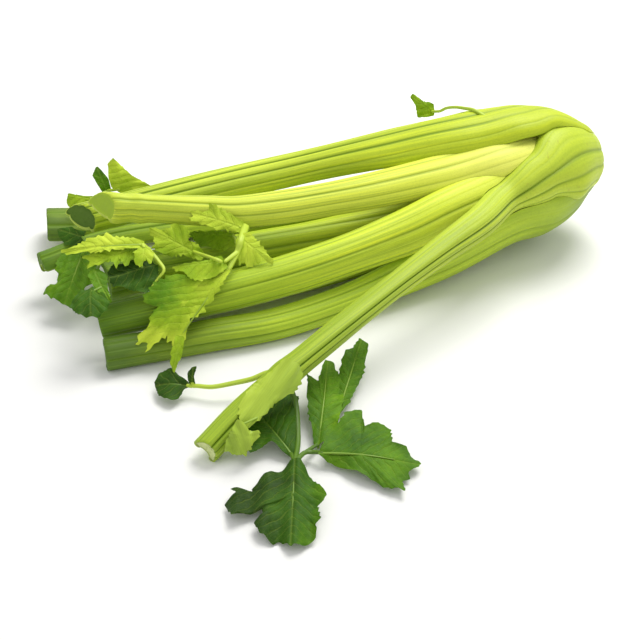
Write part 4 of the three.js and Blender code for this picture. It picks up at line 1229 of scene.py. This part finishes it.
def on_blade(blade, s, t, sink):
    """base + s along + (1/curl - sink) sin(curl t) across
    + ((1/curl - sink) cos(curl t) - 1/curl + 4 bow f (1 - f)) face, with f = s / length."""
    base, tip = np.array([blade["base"], blade["tip"]], float)
    along = unit(tip - base)
    face, _ = crossed_by(along, np.array(blade["face"], float))
    across = np.cross(face, along)
    radius = 1 / blade["curl"]
    share = s / blade_length(blade)
    height = (radius - sink) * np.cos(t / radius) - radius + 4 * blade["bow"] * share * (1 - share)
    side = (radius - sink) * np.sin(t / radius)
    return base + along * s[..., None] + across * side[..., None] + face * height[..., None]


def add_blade(shell, blade, seed, rings=16):
    """Rings about the eye at growing shares of the way to the rim, on an upper and an under
    side that meet in a thin edge. Side veins lie in shallow creases that leave the midrib
    at a slant: 0.18 cos(2 pi (s - 0.9 |t|) / 5.5), none beside the midrib or at the rim."""
    dice = np.random.default_rng(seed)
    rim = rim_line(blade)
    steps = len(rim)
    eye = np.array(blade["eye"], float)
    share = ((np.arange(1, rings + 1) / rings) ** 0.85)[:, None]
    flat = eye + (rim - eye) * share[..., None]
    s, t = flat[..., 0], flat[..., 1]
    size = np.hypot(*(rim - eye).T).mean()
    wave = 0
    for reach, turn in zip(WAVES, dice.uniform(0, 2 * np.pi, 3)):
        heading = dice.uniform(0, 2 * np.pi)
        run = (s * math.cos(heading) + t * math.sin(heading)) / size
        wave = wave + np.sin(run * reach + turn) / reach
    turns = dice.integers(6, 10)
    edge = np.sin(np.arange(steps) / steps * 2 * np.pi * turns + dice.uniform(0, 6))
    lift = blade["wave"] * size * (share**1.3 * wave + 0.45 * share**3 * edge)
    length, height = blade["pleat"]
    lift = lift + height * share * np.sin(2 * np.pi * t / length + 1.0)
    veined = not blade["plain"]
    slant = (s - VEIN_SLANT * np.abs(t)) / VEIN_SPACING
    crease = CREASE * veined * np.cos(2 * np.pi * slant)
    lift = lift - crease * (1 - share**4) * np.clip(np.abs(t) / 3, 0, 1)
    fold = 0.5 * np.exp(-(t / 1.2) ** 2) * (blade["vein"] > 0)
    thin = 1 - 0.6 * share**6
    from_base = np.clip(s / blade_length(blade), 0, 1.2)
    # lean tilts the tone across the blade. This is partly painted light and shade: on the drooping leaf and
    # the collar one side is made lighter where light falls on it and the other darker where it lies in
    # shade.
    tone = blade["tone"] + blade["lean"] * t + blade["pale_tip"] * from_base**6
    skin = wrapped(flat if veined else flat[..., ::-1])
    relief = wrapped(together(share, tone))
    rims = []
    for side in (-1, 1):
        finish = max(side, 0) if veined else 2
        sink = SUNK - lift + fold + side * HALF_THICK * thin
        points = on_blade(blade, s, t, sink)
        points[..., 2] = np.maximum(points[..., 2], LOWEST - side * LOWEST / 2)
        numbers = shell.add_points(points)
        point = shell.add_points(points[0].mean(axis=0, keepdims=True))
        shell.add_grid(wrapped(numbers), skin, relief, finish)
        fan, fan_skin = (
            np.stack([np.roll(inner, -1, axis=0), inner, np.broadcast_to(hub, inner.shape)], axis=1)
            for inner, hub in ((numbers[0], point), (flat[0], eye)))
        shell.add_faces(fan, fan_skin, [0.0, blade["tone"]], finish)
        rims.append(numbers[-1])
    edge_skin, edge_relief = (np.repeat(values[-1:], 2, axis=0) for values in (skin, relief))
    shell.add_grid(wrapped(np.stack(rims)), edge_skin, edge_relief, finish)


trial = Shell()
add_blade(trial, SPRAYS["leaf_far"]["blades"][0], 0)
print("a far blade has", len(trial.faces), "faces")

# %% [markdown]
# A leaf's own stem is round with a shallow channel on top. The midribs of the larger
# leaves are made the same way, thinner and laid along the middle of the blade, so that
# they stand up from it and catch the light.

# %% Stems and whole sprays
CHANNEL_DEPTH, CHANNEL_WIDTH = 0.22, 0.5
STEM_TOP = [0.3, -0.4, 0.86]
MIDRIB_STOPS = np.array([0.02, 0.25, 0.5, 0.75, 1])
MIDRIB_RADII, MIDRIB_SUNK, MIDRIB_LOWEST = (0.7, 0.3), 0.75, 1.0


def add_stem(shell, points, radii, tone, sides=14):
    """A round stem with a channel: radius times 1 - 0.22 exp(-(a / 0.5)^2), drawn in to a
    round end at both ends."""
    line = smooth_line(points)
    length = walk(line, [0])[2]
    middle = np.linspace(0, 1, max(8, int(length / 1.5)))
    cap = min(0.2, max(radii) / length)
    ends = cap * (1 - np.cos(np.linspace(0.25, np.pi / 2, 5)))
    u = np.concatenate([ends, middle[(middle > cap) & (middle < 1 - cap)], 1 - ends[::-1]])
    place, along, _ = walk(line, u)
    out, side = crossed_by(along, np.broadcast_to(STEM_TOP, along.shape))
    near_end = np.minimum(u, 1 - u) / cap
    draw = np.sqrt(np.clip(1 - (1 - np.clip(near_end, 0, 1)) ** 2, 0.02, 1))
    radius = (radii[0] + (radii[1] - radii[0]) * u) * draw
    a = np.linspace(-np.pi, np.pi, sides, endpoint=False)
    profile = 1 - CHANNEL_DEPTH * np.exp(-(a / CHANNEL_WIDTH) ** 2)
    reach = radius[:, None] * profile
    ring = carried(place, out, side, reach * np.sin(a), reach * np.cos(a))
    ring[..., 2] = np.maximum(ring[..., 2], 0.1)
    numbers = shell.add_points(ring)
    skin = together(np.append(a, np.pi) * np.mean(radii), (u * length)[:, None])
    shell.add_grid(wrapped(numbers), skin, np.broadcast_to([0.0, tone], skin.shape), 2)
    for end in (numbers[0], numbers[-1]):
        shell.add_faces(end[None], 0, [0.0, tone], 2)


def spray_shell(spray, seed):
    """All stems, blades and midribs of a spray in one shell."""
    shell = Shell()
    for through, radii in spray["stems"]:
        add_stem(shell, through, radii, spray["stem_tone"])
    for count, blade in enumerate(spray["blades"]):
        add_blade(shell, blade, seed + count)
        if blade["vein"]:
            s = MIDRIB_STOPS * blade["vein"] * blade_length(blade)
            ridge = on_blade(blade, s, 0 * s, MIDRIB_SUNK + 0 * s)
            ridge[:, 2] = np.maximum(ridge[:, 2], MIDRIB_LOWEST)
            add_stem(shell, ridge, MIDRIB_RADII, 0.6 * blade["tone"])
    return shell


trial = spray_shell(SPRAYS["leaf_far"], 0)
print("the far spray has", len(trial.faces), "faces")

# %% [markdown]
# A leaf's upper side is deep green and a little glossy, its underside paler and dull.
# Veins leave the midrib at a slant, and a fine net lies between them. Young leaves are
# yellow-green. One skin does for every blade, because the tone of each is kept in its
# relief map.

# %% Leaf skins
LEAF_TONES = [
    (0.0, linear(0.15, 0.27, 0.04)), (0.25, linear(0.23, 0.40, 0.05)), (0.5, linear(0.38, 0.56, 0.08)),
    (0.75, linear(0.60, 0.73, 0.13)), (1.0, linear(0.80, 0.88, 0.26))]


def leaf_skin(name, seed, under=False):
    """Colour by tone, lighter along the midrib, the slanting side veins and a fine net. A side
    vein is where (along - 0.9 |across|) / 5.5, bent a little by noise, is a whole number."""
    f = Finish(name)
    along, across = f.uv("skin")
    outwards, tone = f.uv("relief")
    x, y, z = f.place()
    off = abs(across)
    midrib = f.between(off, 0.2, 0.9, 1.0, 0.0)
    flat = f.vector(along, across, seed)
    net = f.node("ShaderNodeTexVoronoi", {"feature": "DISTANCE_TO_EDGE"}, {"Vector": flat, "Scale": 0.7})
    mesh = f.between(net, 0.0, 0.12, 1.0, 0.0)
    bent = (f.noise(flat, 0.12, 2.0) - 0.5) * 5.0
    slant = (along - off * VEIN_SLANT + bent) * (1 / VEIN_SPACING) + 20.5
    from_vein = abs(slant.sum("FRACT", slant) - 0.5)
    side_vein = f.between(from_vein, 0.03, 0.11, 1.0, 0.0) * f.between(outwards, 0.7, 1.0, 1.0, 0.2)
    blotch = f.noise(f.vector(x, y, z + seed), 55.0, 4.0, 0.6)
    fine = f.noise(f.vector(x, y, z - seed), 420.0, 2.0)
    veins = (side_vein * 0.5 + midrib * 0.5 + mesh * 0.2 + (blotch - 0.5) * 0.3).held()
    age = (tone + (blotch - 0.5) * 0.65 + (fine - 0.5) * 0.12).held()
    colour = f.ramp(age, LEAF_TONES)
    light = f.mix(0.5, colour, linear(0.78, 0.86, 0.36))
    colour = f.mix(veins * (0.6 if under else 0.32), colour, light)
    if under:
        colour = f.mix(0.3, colour, linear(0.58, 0.68, 0.36))
    height = blotch * 0.5 + fine * 0.3 + (1 - veins) * 0.7
    rough = (0.62 if under else 0.46) + 0.15 * blotch
    return f.wear(colour=colour, roughness=rough, normal=f.bump(height, 0.0008, 0.8), specular=0.15)


def stem_skin(name, seed):
    """Stems: fine fibres along a light green, darker where the spray is dark."""
    f = Finish(name)
    around, along = f.uv("skin")
    _, tone = f.uv("relief")
    fibres = f.noise(f.vector(around * 2.5, along * 0.08, seed), 1.0, 3.0)
    shade = f.ramp(tone, [(0.0, linear(0.26, 0.41, 0.06)), (0.2, linear(0.46, 0.61, 0.13)),
                          (1.0, linear(0.78, 0.87, 0.26))])
    colour = f.mix(f.between(fibres, 0.4, 0.7) * 0.5, shade, f.mix(0.5, shade, GROOVE_GREEN))
    return f.wear(colour=colour, roughness=0.4 + 0.15 * fibres, normal=f.bump(fibres, 0.0003, 0.6))


leaf_top = leaf_skin("leaf_top", 1.0)
leaf_under = leaf_skin("leaf_under", 6.0, under=True)
stem_green = stem_skin("stem_green", 3.0)
print("leaf finishes:", leaf_top.name, leaf_under.name, stem_green.name)

# %% [markdown]
# Last, the sprays are made. Each is one piece with three finishes: the upper sides, the
# undersides and the stems.

# %% The sprays of leaves
DARK_SPRAYS = ("leaf_front", "shoot_front", "leaves_left")
for count, (name, spray) in enumerate(SPRAYS.items()):
    mesh = spray_shell(spray, 10 * count).mesh(name + "_fine")
    slot = "leaf_dark" if name in DARK_SPRAYS else "leaf_young"
    finished_piece(name + "_fine", mesh, [leaf_top, leaf_under, stem_green], name, sharp=70)
    print(name, "has", len(mesh.polygons), "faces")

# %% [markdown]
# The cutters have done their work and are taken out.

# %% Tidy up
for cutter in list(cutters.objects):
    bpy.data.objects.remove(cutter)
bpy.data.collections.remove(cutters)
